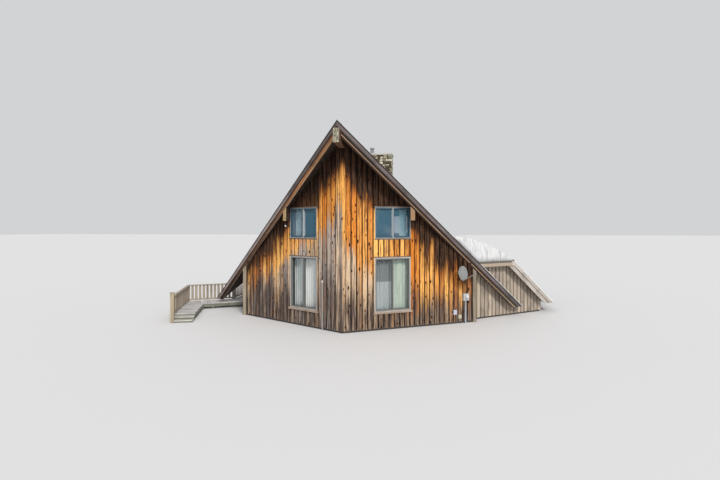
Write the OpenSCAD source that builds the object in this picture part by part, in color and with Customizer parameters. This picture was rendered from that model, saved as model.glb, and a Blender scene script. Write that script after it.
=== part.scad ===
// Prow-fronted a-frame cabin with a flat-roofed side wing, a raised porch and a stone chimney.
// Millimetres, +Z up, +Y towards the back, origin at the foot of the front corner on level ground.

/* [House] */
// Length of each front face, from the prow edge to the side wall
face_len = 5800; // [5400:50:6400]
// Angle between a front face and a plain square front
prow_deg = 30; // [27:0.5:32]
// Length of the side walls, from the front corners to the rear face
side_len = 8300; // [7800:100:9600]
// Height of the roof's ridge above the ground
ridge_h = 7590; // [7300:10:7900]
// Slope of the roof
pitch = 45; // [43:0.5:46]
// Thickness of the outer walls
wall_t = 180; // [140:5:220]
// Height of the plinth under the walls
plinth_h = 100; // [60:10:160]
// Width of the inner ledge of the foundation, which carries the floor
ledge_w = 140; // [100:10:200]
// Height of the ground floor's surface
floor_z = 620; // [560:10:660]
// Thickness of the ground floor
floor_t = 160; // [120:5:200]
// Height of the upper floor's surface
upper_z = 3260; // [3150:10:3320]
// Thickness of the upper floor
upper_t = 230; // [180:5:280]

/* [Roof] */
// Thickness of the roof, square to its slope
roof_t = 325; // [280:5:360]
// How far the roof's point stands out in front of the prow edge
prow_out = 980; // [900:10:1100]
// Angle of the roof's front edge in plan
verge_deg = 37.65; // [36:0.25:39]
// How far the roof runs past the rear wall
rear_out = 900; // [600:50:1100]
// Reach of the left eave from the ridge
eave_x = 5850; // [5700:10:6000]
// Height of the level cut at the roof's low ends
foot_z = 410; // [380:10:480]
// Distance from the front tip at which the left tail would cross the foot
tail_foot_y = 3980; // [3800:20:4100]
// Place along the house where the left tail meets the eave
tail_back_y = 5190; // [5100:10:5400]
// Thickness of the outer fascia board
fascia_t = 40; // [25:1:50]
// Upright depth of the outer fascia board
fascia_h = 195; // [170:5:240]
// Thickness of the barge rafter behind the fascia
barge_t = 70; // [50:5:90]

/* [Timbers] */
// Width of the ridge beam
ridge_w = 210; // [180:5:240]
// Depth of the ridge beam
ridge_d = 490; // [420:10:520]
// Depth of the ridge beam's top below the ridge
ridge_drop = 300; // [260:10:340]
// How far the ridge beam stands out past the roof's point
ridge_out = 180; // [120:10:260]
// Gap between an upper window's casing and the side of the purlin
purlin_gap = 34; // [20:1:60]
// Width of a purlin
purlin_w = 160; // [140:5:170]
// Depth of a purlin on its outer side
purlin_d = 360; // [300:10:400]
// Width of a corner post
post_w = 140; // [120:5:170]
// How far a corner post stands out from the siding
post_proud = 30; // [15:5:45]

/* [Windows] */
// Height left between an upper window's outer top corner and the roof's underside
upper_win_gap = 44; // [35:1:80]
// Width of an upper window over its casing
upper_win_w = 1500; // [1300:10:1500]
// Height of an upper window over its casing
upper_win_h = 1200; // [1000:10:1220]
// Height of the upper windows' lower edge over the upper floor
upper_sill = 210; // [150:10:220]
// Distance of each lower window from the prow edge
lower_win_s = 1270; // [1150:10:1400]
// Width of a lower window over its casing
lower_win_w = 1520; // [1300:10:1700]
// Height of a lower window over its casing
lower_win_h = 2070; // [1900:10:2150]
// Height of the lower windows' lower edge over the ground floor
lower_sill = 60; // [40:5:120]
// Width of the casing boards around a window
casing_w = 45; // [35:1:60]
// Thickness of the casing boards
casing_t = 25; // [15:1:35]
// Width of a window's frame members
frame_w = 28; // [22:1:40]
// Depth of a window's frame in the wall
frame_d = 110; // [90:5:130]
// Thickness of the window glass
glass_t = 24; // [16:2:30]
// Share of an upper window's width over which each of its two curtains is drawn
upper_curtain = 0.3; // [0.15:0.01:0.45]
// Share of a window's width left bare beside the curtains
curtain_side = 0.02; // [0.01:0.01:0.05]

/* [Wing] */
// How far the wing's slope lies outside the main slope
wing_out = 1650; // [1500:10:1700]
// Thickness of the wing's flat roof
flat_t = 120; // [100:5:160]
// Distance of the plumb joint between main roof and wing from the ridge line
joint_x = 5160; // [5150:5:5200]
// Width of the free tail of the main roof in front of the wing, behind its boards
fin_w = 280; // [240:10:320]
// Height of the wing roof's underside at its outer wall
knee_h = 550; // [480:10:650]
// Height of the wing's floor
wing_floor_z = 160; // [140:10:200]
// Width of the passage from the house to the wing
passage_w = 1800; // [1200:50:2400]

/* [Snow on the wing] */
// Distance of the snow's upper edge from the ridge line
snow_x = 4020; // [3800:20:4300]
// Rise of the snow's arc over its chord
snow_bulge = 200; // [120:10:280]
// Distance of the snow's front from the roof's front edge
snow_in = 30; // [20:5:60]
// Height of the snow's upright front
snow_lip = 250; // [150:10:320]
// Run of the snow's rounded front
snow_front = 700; // [500:20:900]
// Run of the snow's rounded rear
snow_rear = 1200; // [900:50:1500]
// Height of the snow's rounding above its upright front
snow_rise = 1000; // [950:10:1200]
// Distance of the snow's rear from the roof's rear edge
snow_back = 700; // [500:50:1000]
// Parts that each of the snow's curves is made of
arc_parts = 6; // [4:1:10]

/* [Entry] */
// Place of the entry along the house
entry_y = 6100; // [6050:50:6400]
// Outer width of the entry
entry_w = 1900; // [1700:20:2100]
// Distance of the entry's front face from the ridge line
entry_x = 5750; // [5650:10:5800]
// Height of the entry's ceiling
entry_ceil_z = 2860; // [2840:10:2900]
// Thickness of the entry's roof
entry_roof_t = 130; // [100:5:160]
// Reach of the entry's roof past its front
entry_eave = 220; // [150:10:260]
// Thickness of the entry's walls
entry_t = 110; // [90:5:130]
// Width of the entry door
door_w = 900; // [760:10:1000]
// Height of the entry door
door_h = 2030; // [1980:5:2060]
// Width of the door's frame members
jamb_w = 60; // [40:2:80]
// Thickness of the door
door_t = 45; // [38:1:55]

/* [Chimney] */
// Width of the chimney
chimney_w = 1350; // [1200:10:1450]
// Depth of the chimney
chimney_d = 900; // [800:10:1000]
// Distance of the chimney's centre from the ridge line
chimney_x = 330; // [280:10:380]
// Distance of the chimney's front from the rear face
chimney_back = 2000; // [1800:50:2300]
// Height of the stonework over the ridge
chimney_up = 430; // [300:10:700]
// Thickness of the cap slab
cap_t = 90; // [60:5:120]
// Overhang of the cap slab
cap_out = 60; // [30:5:80]
// Outer diameter of the metal flue
flue_d = 200; // [160:5:240]
// Height of the metal flue over the cap
flue_h = 380; // [340:10:450]
// Height of the flue's hood
hood_h = 60; // [40:5:80]
// How far the hood stands out past the flue
hood_out = 30; // [15:1:50]
// Height of the flue's side slots
slot_h = 90; // [60:5:110]
// Width of the flue's side slots
slot_w = 57; // [40:1:70]

/* [Porch] */
// Height of the porch and walkway boards
deck_z = 280; // [250:10:320]
// Thickness of the deck boards
deck_t = 40; // [30:2:50]
// Width of the walkway
walk_w = 860; // [800:10:950]
// Direction of the walkway, turned from the house's length
walk_deg = 20; // [17:1:23]
// Distance of the steps' centre from the ridge line
walk_x = 7050; // [6950:10:7150]
// Place of the walkway's front end along the house
walk_y = 1370; // [1250:20:1500]
// Length of the walkway from the steps to its turn
walk_len = 3300; // [3200:20:3400]
// Direction of the walkway after its turn, from square to the ridge
leg_deg = 30; // [28:0.5:32]
// Width of the walkway after its turn
leg_w = 950; // [880:10:1000]
// Outer edge of the porch, from the ridge line
porch_x = 6750; // [6650:10:6850]
// Length of the porch past the entry
porch_past = 300; // [250:10:400]
// Gap between the deck and the house walls
deck_gap = 12; // [6:1:20]
// Depth of the rim boards
rim_h = 140; // [110:5:180]
// Thickness of the rim boards
rim_t = 40; // [30:2:50]
// Width of the deck posts
post_foot = 90; // [80:5:110]
// Run of one step
tread_run = 290; // [260:5:320]
// Number of steps under the walkway's end
steps = 2; // [2:1:3]
// Thickness of a tread
tread_t = 40; // [30:2:50]
// Thickness of the risers
riser_t = 20; // [18:1:30]
// Height of the railing over the deck
rail_h = 800; // [750:10:950]
// Width of the railing posts
rail_post = 90; // [80:5:110]
// Width of the handrail
hand_w = 120; // [100:5:140]
// Thickness of the rails
hand_t = 40; // [30:2:50]
// Width of a baluster
bal_w = 112; // [95:1:125]
// Thickness of the pickets
bal_t = 20; // [16:1:24]
// Widest spacing of the balusters
bal_pitch = 185; // [165:5:210]
// Height of the railing's lower rail over the deck
low_rail_z = 40; // [30:5:60]
// Depth of the railing's lower rail
low_rail_h = 70; // [50:5:90]
// Height of the step at the door above the porch
door_step_h = 170; // [160:5:180]
// Run of the step at the door
door_step_run = 300; // [270:10:320]
// Width of the step at the door
door_step_w = 1100; // [1000:10:1200]

/* [Fittings] */
// Diameter of the dish
dish_d = 580; // [500:10:640]
// Depth of the dish's bowl
dish_bowl = 60; // [40:2:80]
// Thickness of the dish's sheet
dish_t = 10; // [8:1:14]
// Distance of the dish's mast from the front corner
dish_in = 880; // [820:10:950]
// Distance of the dish's centre below the roof's underside
dish_drop = 809; // [790:1:850]
// Distance of the dish from the wall
dish_off = 340; // [320:10:400]
// Turn of the dish away from square to the wall
dish_turn = 20; // [15:1:25]
// Upward tilt of the dish
dish_tilt = 9; // [6:1:14]
// Diameter of the dish's mast tube
mast_d = 42; // [36:1:50]
// Distance of the receiver in front of the dish's middle
feed_out = 600; // [540:10:640]
// Side of the square plates on the wall and behind the bowl
dish_plate = 130; // [80:5:200]
// Thickness of the plate on the wall
dish_plate_t = 15; // [10:1:20]
// Depth of the bracket behind the bowl
dish_back_t = 30; // [20:1:40]
// Side of the arm's square tube
dish_arm_w = 26; // [18:1:40]
// How far the receiver sits below the dish's axis
feed_drop = 90; // [60:5:120]
// Width across the receiver
feed_d = 70; // [40:5:100]
// Length of the receiver
feed_len = 110; // [60:5:160]
// Distance of the meter box from the front corner
meter_in = 520; // [460:10:560]
// Height of the meter box's centre
meter_z = 1060; // [950:10:1150]
// Width of the meter box
meter_w = 260; // [220:10:300]
// Height of the meter box
meter_h = 290; // [250:10:340]
// Depth of the meter box
meter_d = 120; // [90:5:150]
// Diameter of the meter's conduit
conduit_d = 60; // [40:2:80]
// Distance of the outer wall box from the front corner
box_in = 1010; // [980:10:1080]
// Height of the outer wall box's lower edge
box_z = 370; // [300:10:450]
// Width of the outer wall box
box_w = 150; // [120:5:170]
// Depth of the outer wall box
box_d = 70; // [50:5:90]
// Height of the outer wall box
box_h = 190; // [150:5:230]
// Distance of the inner wall box from the front corner
small_box_in = 780; // [740:10:820]
// Height of the inner wall box's lower edge
small_box_z = 200; // [150:10:260]
// Width of the inner wall box
small_box_w = 140; // [110:5:150]
// Depth of the inner wall box
small_box_d = 60; // [40:5:80]
// Height of the inner wall box
small_box_h = 150; // [120:5:180]
// Distance of the thin pipe on the left face from the prow edge
pipe_s = 990; // [940:10:1050]
// Diameter of the thin pipe
pipe_d = 44; // [32:1:55]
// Diameter of the thin pipe's cap
pipe_cap_d = 60; // [56:1:80]
// Height of the thin pipe's cap
pipe_cap_h = 90; // [60:5:120]
// Top of the thin pipe
pipe_top = 1790; // [1700:10:2000]
// Distance of the flood light's lower edge below the purlin
flood_drop = 210; // [180:10:400]
// Side of the flood light's square base
flood_base = 100; // [80:5:120]
// Depth of the flood light's base
flood_base_d = 40; // [30:2:60]
// Length of the flood light's shade
shade_len = 130; // [100:5:160]
// Diameter of the shade at its back
shade_back_d = 50; // [40:2:60]
// Diameter of the shade at its mouth
shade_d = 110; // [90:5:130]
// Downward angle of the shade
shade_tilt = 20; // [0:1:45]

/* [Hidden] */
$fn = 48;
// Longer than the whole house, for cuts and intersections
far = 20000;
// Distance that a cut runs past a face
cut = 50;
// Depth of a curtain rail, and its top over the window
rail_d = 40;
rail_up = 30;
// Thickness of a curtain, its clearance under the rail and its hem over the sill
curtain_t = 60;
curtain_gap = 0.3;
curtain_hem = 20;
// How far the walkway's boards run on into the porch
// Thickness of the flue's sheet, and the rim left over its slots
flue_t = 8;
flue_rim = 30;
// Distance of the porch's end railing from the eave
rail_end = 100;
// Clearance between the bowl and the bracket behind it
dish_seat = 0.3;

corner_x = face_len * cos(prow_deg);
corner_y = face_len * sin(prow_deg);
rear_y = corner_y + side_len;
roof_rear = rear_y + rear_out;
slope = tan(pitch);
roof_v = roof_t / cos(pitch);
under_h = ridge_h - roof_v;
wing_h = ridge_h + wing_out * slope;
flat_z = ridge_h - joint_x * slope;
flat_x = (wing_h - flat_z) / slope;
knee_x = (wing_h - roof_v - knee_h) / slope;
upper_win_z = upper_z + upper_sill;
lower_win_z = floor_z + lower_sill;
upper_out_x = (under_h - upper_win_z - upper_win_h - upper_win_gap) / slope;
upper_win_s = upper_out_x / cos(prow_deg) - upper_win_w;
rear_win_x = upper_out_x - upper_win_w;
purlin_x = upper_out_x + purlin_gap + purlin_w / 2;
chimney_y = rear_y - chimney_back;
chimney_h = ridge_h + chimney_up;
dish_s = face_len - dish_in;
dish_z = under_h - dish_s * cos(prow_deg) * slope - dish_drop;
meter_s = face_len - meter_in;
flood_z = under_h - (purlin_x + purlin_w / 2) * slope - purlin_d - flood_drop;
boards_t = fascia_t + barge_t;
ridge_top = ridge_h - ridge_drop;
ridge_bot = ridge_top - ridge_d;
wing_wall_off = boards_t + fin_w;
entry_in_x = (under_h - entry_ceil_z) / slope;
entry_top = entry_ceil_z + entry_roof_t;
floor_under = floor_z - floor_t;
deck_under = deck_z - deck_t;
porch_back = entry_y + entry_w + porch_past;
turn_x = walk_x + walk_w / 2 * cos(walk_deg) + walk_len * sin(walk_deg);
turn_y = walk_y - walk_w / 2 * sin(walk_deg) + walk_len * cos(walk_deg);
leg_rail_len = (turn_x - porch_x + hand_w / 2) / cos(leg_deg);
porch_y = turn_y + (turn_x - porch_x + hand_w / 2) * tan(leg_deg);

// Helpers for the building's shared planes

// Extrudes an X-Z profile along the house from y0 to y1
module along_house(y0, y1) {
    translate([0, y1, 0]) rotate([90, 0, 0]) linear_extrude(y1 - y0) children();
}

// Stands a plan outline up from z0 to z1
module plan(z0, z1) {
    translate([0, 0, z0]) linear_extrude(z1 - z0) children();
}

// Side 1 is the right and -1 the left
module on_side(side) {
    mirror([side < 0 ? 1 : 0, 0, 0]) children();
}

// X runs along a front face from the prow edge and Y goes into the wall
module on_face(side) {
    on_side(side) rotate([0, 0, prow_deg]) children();
}

// Place of the roof's front edge at distance x from the ridge line, moved back by off
function verge_y(x, off = 0) = -prow_out + x * tan(verge_deg) + off / cos(verge_deg);

// Place of a front face at distance x, moved into the house by d
function face_y(x, d = 0) = x * tan(prow_deg) + d / cos(prow_deg);

// Outline of the house, d inside its outer faces
function house_outline(d) = [
    [0, face_y(0, d)], [corner_x - d, face_y(corner_x - d, d)], [corner_x - d, rear_y - d],
    [d - corner_x, rear_y - d], [d - corner_x, face_y(corner_x - d, d)]
];

// Band between two planes parallel to the main slope, a and b below it, on the right side
function slope_band(h, a, b) = [
    [0, h - a], [(h - a - foot_z) / slope, foot_z], [(h - b - foot_z) / slope, foot_z], [0, h - b]
];

// Space under the main roof
module under_main() {
    along_house(-far, far) polygon([
        [-under_h / slope, 0], [under_h / slope, 0], [0, under_h]
    ]);
}

// Space under the wing's roof, from the side wall outwards
module under_wing() {
    along_house(-far, far) polygon([
        [corner_x, 0], [knee_x, 0], [knee_x, wing_h - roof_v - knee_x * slope],
        [flat_x, wing_h - roof_v - flat_x * slope], [flat_x, flat_z - flat_t],
        [joint_x, flat_z - flat_t], [joint_x, under_h - joint_x * slope],
        [corner_x, under_h - corner_x * slope]
    ]);
}

// Strip behind the roof's front edge on the right, from a to b behind it
module verge_strip(a, b, x0 = 0, x1 = far) {
    plan(0, far) polygon([
        [x0, verge_y(x0, a)], [x1, verge_y(x1, a)], [x1, verge_y(x1, b)], [x0, verge_y(x0, b)]
    ]);
}

module ridge_envelope(y1 = far) {
    translate([-ridge_w / 2, -prow_out - ridge_out, ridge_bot])
        cube([ridge_w, y1 + prow_out + ridge_out, ridge_d]);
}

module chimney_envelope(grow = 0) {
    translate([chimney_x - chimney_w / 2 - grow, chimney_y - grow, 0])
        cube([chimney_w + 2 * grow, chimney_d + 2 * grow, chimney_h]);
}

module purlin_envelope() {
    intersection() {
        along_house(-far, roof_rear - boards_t) polygon([
            [purlin_x - purlin_w / 2, under_h - (purlin_x + purlin_w / 2) * slope - purlin_d],
            [purlin_x + purlin_w / 2, under_h - (purlin_x + purlin_w / 2) * slope - purlin_d],
            [purlin_x + purlin_w / 2, under_h - (purlin_x + purlin_w / 2) * slope],
            [purlin_x - purlin_w / 2, under_h - (purlin_x - purlin_w / 2) * slope]
        ]);
        verge_strip(0, far);
    }
}

module corner_post_plan() {
    translate([corner_x + post_proud - post_w, corner_y + post_proud - post_w]) square(post_w);
}

// Openings

module window_hole(s, z, w, h) {
    translate([s + casing_w, -cut, z + casing_w])
        cube([w - 2 * casing_w, wall_t + 2 * cut, h - 2 * casing_w]);
}

module front_window_holes() {
    window_hole(upper_win_s, upper_win_z, upper_win_w, upper_win_h);
    window_hole(lower_win_s, lower_win_z, lower_win_w, lower_win_h);
}

// X runs along the rear face from the centre line and Y goes into the wall, for one side
module on_rear(side) {
    on_side(side) translate([0, rear_y, 0]) mirror([0, 1, 0]) children();
}

module rear_window_holes() {
    window_hole(rear_win_x, upper_win_z, upper_win_w, upper_win_h);
    window_hole(rear_win_x, lower_win_z, lower_win_w, lower_win_h);
}

// Foundation and floors

module foundation() {
    color("dimgray") difference() {
        union() {
            difference() {
                plan(0, plinth_h) polygon(house_outline(0));
                plan(-cut, plinth_h + cut) polygon(house_outline(wall_t + ledge_w));
            }
            difference() {
                plan(plinth_h, floor_under) polygon(house_outline(wall_t));
                plan(plinth_h - cut, floor_under + cut) polygon(house_outline(wall_t + ledge_w));
            }
            difference() {
                plan(0, plinth_h) wing_outline(0);
                plan(-cut, plinth_h + cut) wing_outline(wall_t);
            }
        }
        for (side = [-1, 1]) on_side(side) plan(-cut, far) corner_post_plan();
    }
}

module ground_floor() {
    color("peru") {
        difference() {
            union() {
                plan(floor_under, floor_z) polygon(house_outline(wall_t));
                translate([-entry_x + entry_t, entry_y + entry_t, floor_under])
                    cube([entry_x - corner_x + wall_t, entry_w - 2 * entry_t, floor_t]);
            }
            chimney_envelope();
        }
    }
}

module upper_floor() {
    color("peru") difference() {
        intersection() {
            plan(upper_z - upper_t, upper_z) polygon(house_outline(wall_t));
            under_main();
        }
        chimney_envelope();
    }
}

// Main walls

module front_wall(side) {
    difference() {
        intersection() {
            on_side(side) plan(plinth_h, far) polygon([
                [0, 0], [corner_x, corner_y], [corner_x - wall_t, face_y(corner_x - wall_t, wall_t)],
                [0, face_y(0, wall_t)]
            ]);
            under_main();
        }
        on_face(side) front_window_holes();
        on_side(side) purlin_envelope();
        on_side(side) plan(0, far) corner_post_plan();
        ridge_envelope();
    }
}

module front_wall_left() {
    color("sienna") front_wall(-1);
}

module front_wall_right() {
    color("sienna") front_wall(1);
}

module side_wall(side) {
    difference() {
        intersection() {
            on_side(side) plan(plinth_h, far) polygon([
                [corner_x, corner_y], [corner_x, rear_y - wall_t], [corner_x - wall_t, rear_y - wall_t],
                [corner_x - wall_t, face_y(corner_x - wall_t, wall_t)]
            ]);
            under_main();
        }
        on_side(side) plan(0, far) corner_post_plan();
    }
}

module side_wall_left() {
    color("sienna") difference() {
        side_wall(-1);
        translate([-corner_x - cut, entry_y + entry_t, floor_under])
            cube([wall_t + 2 * cut, entry_w - 2 * entry_t, far]);
    }
}

module side_wall_right() {
    color("sienna") difference() {
        side_wall(1);
        translate([corner_x - wall_t - cut, entry_y, floor_z])
            cube([wall_t + 2 * cut, passage_w, far]);
    }
}

module rear_wall() {
    color("sienna") difference() {
        intersection() {
            plan(plinth_h, far) translate([-corner_x, rear_y - wall_t]) square([2 * corner_x, wall_t]);
            under_main();
        }
        for (side = [-1, 1]) {
            on_rear(side) rear_window_holes();
            on_side(side) purlin_envelope();
        }
        ridge_envelope();
    }
}

// Main roof

// Left slab: its free tail points forwards and its eave is cut square
module roof_left() {
    color("gray") difference() {
        intersection() {
            on_side(-1) verge_strip(boards_t, far);
            on_side(-1) plan(foot_z, far) translate([0, -far]) square([far, far + roof_rear - boards_t]);
            on_side(-1) translate([0, 0, ridge_h]) rotate([0, pitch, 0])
                translate([0, 0, -roof_t]) linear_extrude(roof_t) polygon([
                    [0, -far], [(ridge_h - foot_z) / sin(pitch), -far],
                    [(ridge_h - foot_z) / sin(pitch), tail_foot_y], [eave_x / cos(pitch), tail_back_y],
                    [eave_x / cos(pitch), far], [0, far]
                ]);
        }
        ridge_envelope();
        chimney_envelope();
        translate([-far, entry_y, 0]) cube([far - entry_in_x, entry_w, entry_top]);
    }
}

// Right slab: plumb where the wing joins it, with a narrow free tail in front of the wing
module roof_right() {
    color("gray") difference() {
        intersection() {
            union() {
                plan(0, far) polygon([
                    [0, verge_y(0, boards_t)], [joint_x, verge_y(joint_x, boards_t)],
                    [joint_x, roof_rear - boards_t], [0, roof_rear - boards_t]
                ]);
                verge_strip(boards_t, wing_wall_off, joint_x);
            }
            along_house(-far, far) polygon(slope_band(ridge_h, 0, roof_v));
        }
        ridge_envelope();
        chimney_envelope();
    }
}

// Boards that follow the roof's front edge on both sides, between two depths
module front_boards(a, b, depth) {
    difference() {
        for (side = [-1, 1]) on_side(side) intersection() {
            verge_strip(a, b);
            along_house(-far, far) polygon(slope_band(ridge_h, 0, depth));
        }
        ridge_envelope();
    }
}

module front_fascia() {
    color("dimgray") front_boards(0, fascia_t, fascia_h);
}

module front_barge_rafters() {
    color("saddlebrown") front_boards(fascia_t, boards_t, roof_v);
}

module rear_fascia() {
    color("dimgray") difference() {
        along_house(roof_rear - boards_t, roof_rear) union() {
            intersection() {
                polygon(slope_band(ridge_h, 0, roof_v));
                square([joint_x, far]);
            }
            mirror([1, 0]) intersection() {
                polygon(slope_band(ridge_h, 0, roof_v));
                square([eave_x, far]);
            }
        }
        ridge_envelope();
    }
}

module left_eave_board() {
    color("dimgray") difference() {
        on_side(-1) translate([0, 0, ridge_h]) rotate([0, pitch, 0])
            translate([eave_x / cos(pitch), tail_back_y, -roof_t])
                cube([fascia_t, roof_rear - boards_t - tail_back_y, roof_t]);
        translate([-far, entry_y, 0]) cube([far, entry_w, entry_top]);
    }
}

// Roof timbers and posts

module ridge_beam() {
    color("burlywood") difference() {
        ridge_envelope(roof_rear + ridge_out);
        chimney_envelope();
    }
}

module purlins() {
    color("burlywood") for (side = [-1, 1]) on_side(side) purlin_envelope();
}

module corner_post(side) {
    color("tan") intersection() {
        on_side(side) plan(0, far) corner_post_plan();
        under_main();
    }
}

module corner_post_left() {
    corner_post(-1);
}

module corner_post_right() {
    corner_post(1);
}

// Windows

// Frame with casing boards outside and one upright mullion
module window_frame(s, z, w, h) {
    iw = w - 2 * casing_w;
    ih = h - 2 * casing_w;
    translate([s, 0, z]) difference() {
        union() {
            translate([0, -casing_t, 0]) cube([w, casing_t, h]);
            translate([casing_w, 0, casing_w]) cube([iw, frame_d, ih]);
        }
        for (i = [0, 1])
            translate([casing_w + frame_w + i * (iw - frame_w) / 2, -casing_t - cut, casing_w + frame_w])
                cube([(iw - 3 * frame_w) / 2, casing_t + frame_d + 2 * cut, ih - 2 * frame_w]);
    }
}

module window_glass(s, z, w, h) {
    iw = w - 2 * casing_w;
    ih = h - 2 * casing_w;
    for (i = [0, 1])
        translate([s + casing_w + frame_w + i * (iw - frame_w) / 2, (frame_d - glass_t) / 2,
                   z + casing_w + frame_w])
            cube([(iw - 3 * frame_w) / 2, glass_t, ih - 2 * frame_w]);
}

module upper_window_frames() {
    color("gainsboro") for (side = [-1, 1])
        on_face(side) window_frame(upper_win_s, upper_win_z, upper_win_w, upper_win_h);
}

module lower_window_frames() {
    color("gainsboro") for (side = [-1, 1])
        on_face(side) window_frame(lower_win_s, lower_win_z, lower_win_w, lower_win_h);
}

module rear_window_frames() {
    color("gainsboro") for (side = [-1, 1]) on_rear(side) {
        window_frame(rear_win_x, upper_win_z, upper_win_w, upper_win_h);
        window_frame(rear_win_x, lower_win_z, lower_win_w, lower_win_h);
    }
}

module front_glass() {
    color("lightblue") for (side = [-1, 1]) on_face(side) {
        window_glass(upper_win_s, upper_win_z, upper_win_w, upper_win_h);
        window_glass(lower_win_s, lower_win_z, lower_win_w, lower_win_h);
    }
}

module rear_glass() {
    color("lightblue") for (side = [-1, 1]) on_rear(side) {
        window_glass(rear_win_x, upper_win_z, upper_win_w, upper_win_h);
        window_glass(rear_win_x, lower_win_z, lower_win_w, lower_win_h);
    }
}

// Rail on the inner wall face over a window, and the curtain that hangs from it

module curtain_rail(s, z, w, h) {
    translate([s, wall_t, z + h + rail_up - rail_d]) cube([w, rail_d + curtain_t, rail_d]);
}

module curtain(s, z, w, h, share0, share1) {
    drop = h + rail_up - rail_d - curtain_gap - curtain_hem;
    translate([s + share0 * w, wall_t + rail_d, z + curtain_hem])
        cube([(share1 - share0) * w, curtain_t, drop]);
}

module curtain_rails() {
    color("silver") for (side = [-1, 1]) on_face(side) {
        curtain_rail(upper_win_s, upper_win_z, upper_win_w, upper_win_h);
        curtain_rail(lower_win_s, lower_win_z, lower_win_w, lower_win_h);
    }
}

module curtains() {
    color("linen") for (side = [-1, 1]) on_face(side) {
        for (share = [curtain_side, 1 - curtain_side - upper_curtain])
            curtain(upper_win_s, upper_win_z, upper_win_w, upper_win_h, share, share + upper_curtain);
        curtain(lower_win_s, lower_win_z, lower_win_w, lower_win_h, curtain_side, 1 - curtain_side);
    }
}

// Wing

// Plan of the wing's outer faces, d inside them, from the side wall's outer face
module wing_outline(d) {
    polygon([
        [corner_x, verge_y(corner_x, wing_wall_off + d)],
        [knee_x - d, verge_y(knee_x - d, wing_wall_off + d)],
        [knee_x - d, rear_y - d], [corner_x, rear_y - d]
    ]);
}

module wing_front_wall() {
    color("sienna") difference() {
        intersection() {
            verge_strip(wing_wall_off, wing_wall_off + wall_t, corner_x, knee_x);
            plan(plinth_h, far) square(far);
            under_wing();
        }
        plan(0, far) corner_post_plan();
    }
}

module wing_outer_wall() {
    color("sienna") intersection() {
        plan(plinth_h, far) polygon([
            [knee_x - wall_t, verge_y(knee_x - wall_t, wing_wall_off + wall_t)],
            [knee_x, verge_y(knee_x, wing_wall_off + wall_t)],
            [knee_x, rear_y - wall_t], [knee_x - wall_t, rear_y - wall_t]
        ]);
        under_wing();
    }
}

module wing_rear_wall() {
    color("sienna") intersection() {
        plan(plinth_h, far) translate([corner_x, rear_y - wall_t]) square([knee_x - corner_x, wall_t]);
        under_wing();
    }
}

// Space that the main roof's free tail and its boards take up
module tail_zone() {
    intersection() {
        verge_strip(0, wing_wall_off);
        along_house(-far, far) polygon(slope_band(ridge_h, 0, roof_v));
    }
}

module wing_flat_roof() {
    color("lightgray") difference() {
        intersection() {
            verge_strip(boards_t, far);
            translate([joint_x, 0, flat_z - flat_t]) cube([flat_x - joint_x, roof_rear - boards_t, flat_t]);
        }
        tail_zone();
    }
}

module wing_slope_roof() {
    color("gray") intersection() {
        verge_strip(boards_t, far);
        plan(0, far) translate([flat_x, 0]) square([far, roof_rear - boards_t]);
        along_house(-far, far) polygon(slope_band(wing_h, 0, roof_v));
    }
}

module wing_floor() {
    color("darkgray") intersection() {
        plan(0, wing_floor_z) wing_outline(wall_t);
        plan(0, far) translate([corner_x, 0]) square([knee_x - wall_t - corner_x, rear_y - wall_t]);
    }
}

// Profile of the wing's edge boards: level over the flat roof, then down the slope
function wing_board_profile(depth_flat, depth_slope) = [
    [joint_x, flat_z], [flat_x, flat_z], [(wing_h - foot_z) / slope, foot_z],
    [(wing_h - depth_slope - foot_z) / slope, foot_z],
    [(wing_h - depth_slope - flat_z + depth_flat) / slope, flat_z - depth_flat],
    [joint_x, flat_z - depth_flat]
];

module wing_front_boards() {
    color("gainsboro") difference() {
        union() {
            intersection() {
                verge_strip(0, fascia_t);
                along_house(-far, far) polygon(wing_board_profile(fascia_h, fascia_h));
            }
            intersection() {
                verge_strip(fascia_t, boards_t);
                along_house(-far, far) polygon(wing_board_profile(flat_t, roof_v));
            }
        }
        tail_zone();
    }
}

module wing_rear_boards() {
    color("dimgray") along_house(roof_rear - boards_t, roof_rear)
        polygon(wing_board_profile(flat_t, roof_v));
}

// Outline of the snow in a section across the house: a wide arc over the roofs, down to the flat roof's edge
module snow_section() {
    high = [snow_x, ridge_h - snow_x * slope];
    low = [flat_x, flat_z];
    out = [high[1] - low[1], low[0] - high[0]] / norm(low - high);
    polygon([
        [joint_x, flat_z],
        for (i = [0:arc_parts])
            high + (low - high) * i / arc_parts + out * snow_bulge * (1 - pow(2 * i / arc_parts - 1, 2))
    ]);
}

// Side view of one end of the snow, upright below and rounded above
module snow_end(start, run) {
    polygon([
        [start, flat_z - cut],
        for (i = [0:arc_parts])
            [start + run * (1 - cos(90 * i / arc_parts)), flat_z + snow_lip + snow_rise * sin(90 * i / arc_parts)],
        [far, flat_z + snow_lip + snow_rise],
        [far, flat_z - cut]
    ]);
}

module wing_snow() {
    color("white") intersection() {
        along_house(-far, far) snow_section();
        translate([0, -prow_out, 0]) rotate([0, 0, verge_deg]) translate([-far, 0, 0]) rotate([90, 0, 90])
            linear_extrude(2 * far) snow_end(snow_in, snow_front);
        translate([far, roof_rear - snow_back, 0]) rotate([90, 0, -90])
            linear_extrude(2 * far) snow_end(0, snow_rear);
    }
}

// Entry on the left side, under a small flat roof let into the slope

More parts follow.
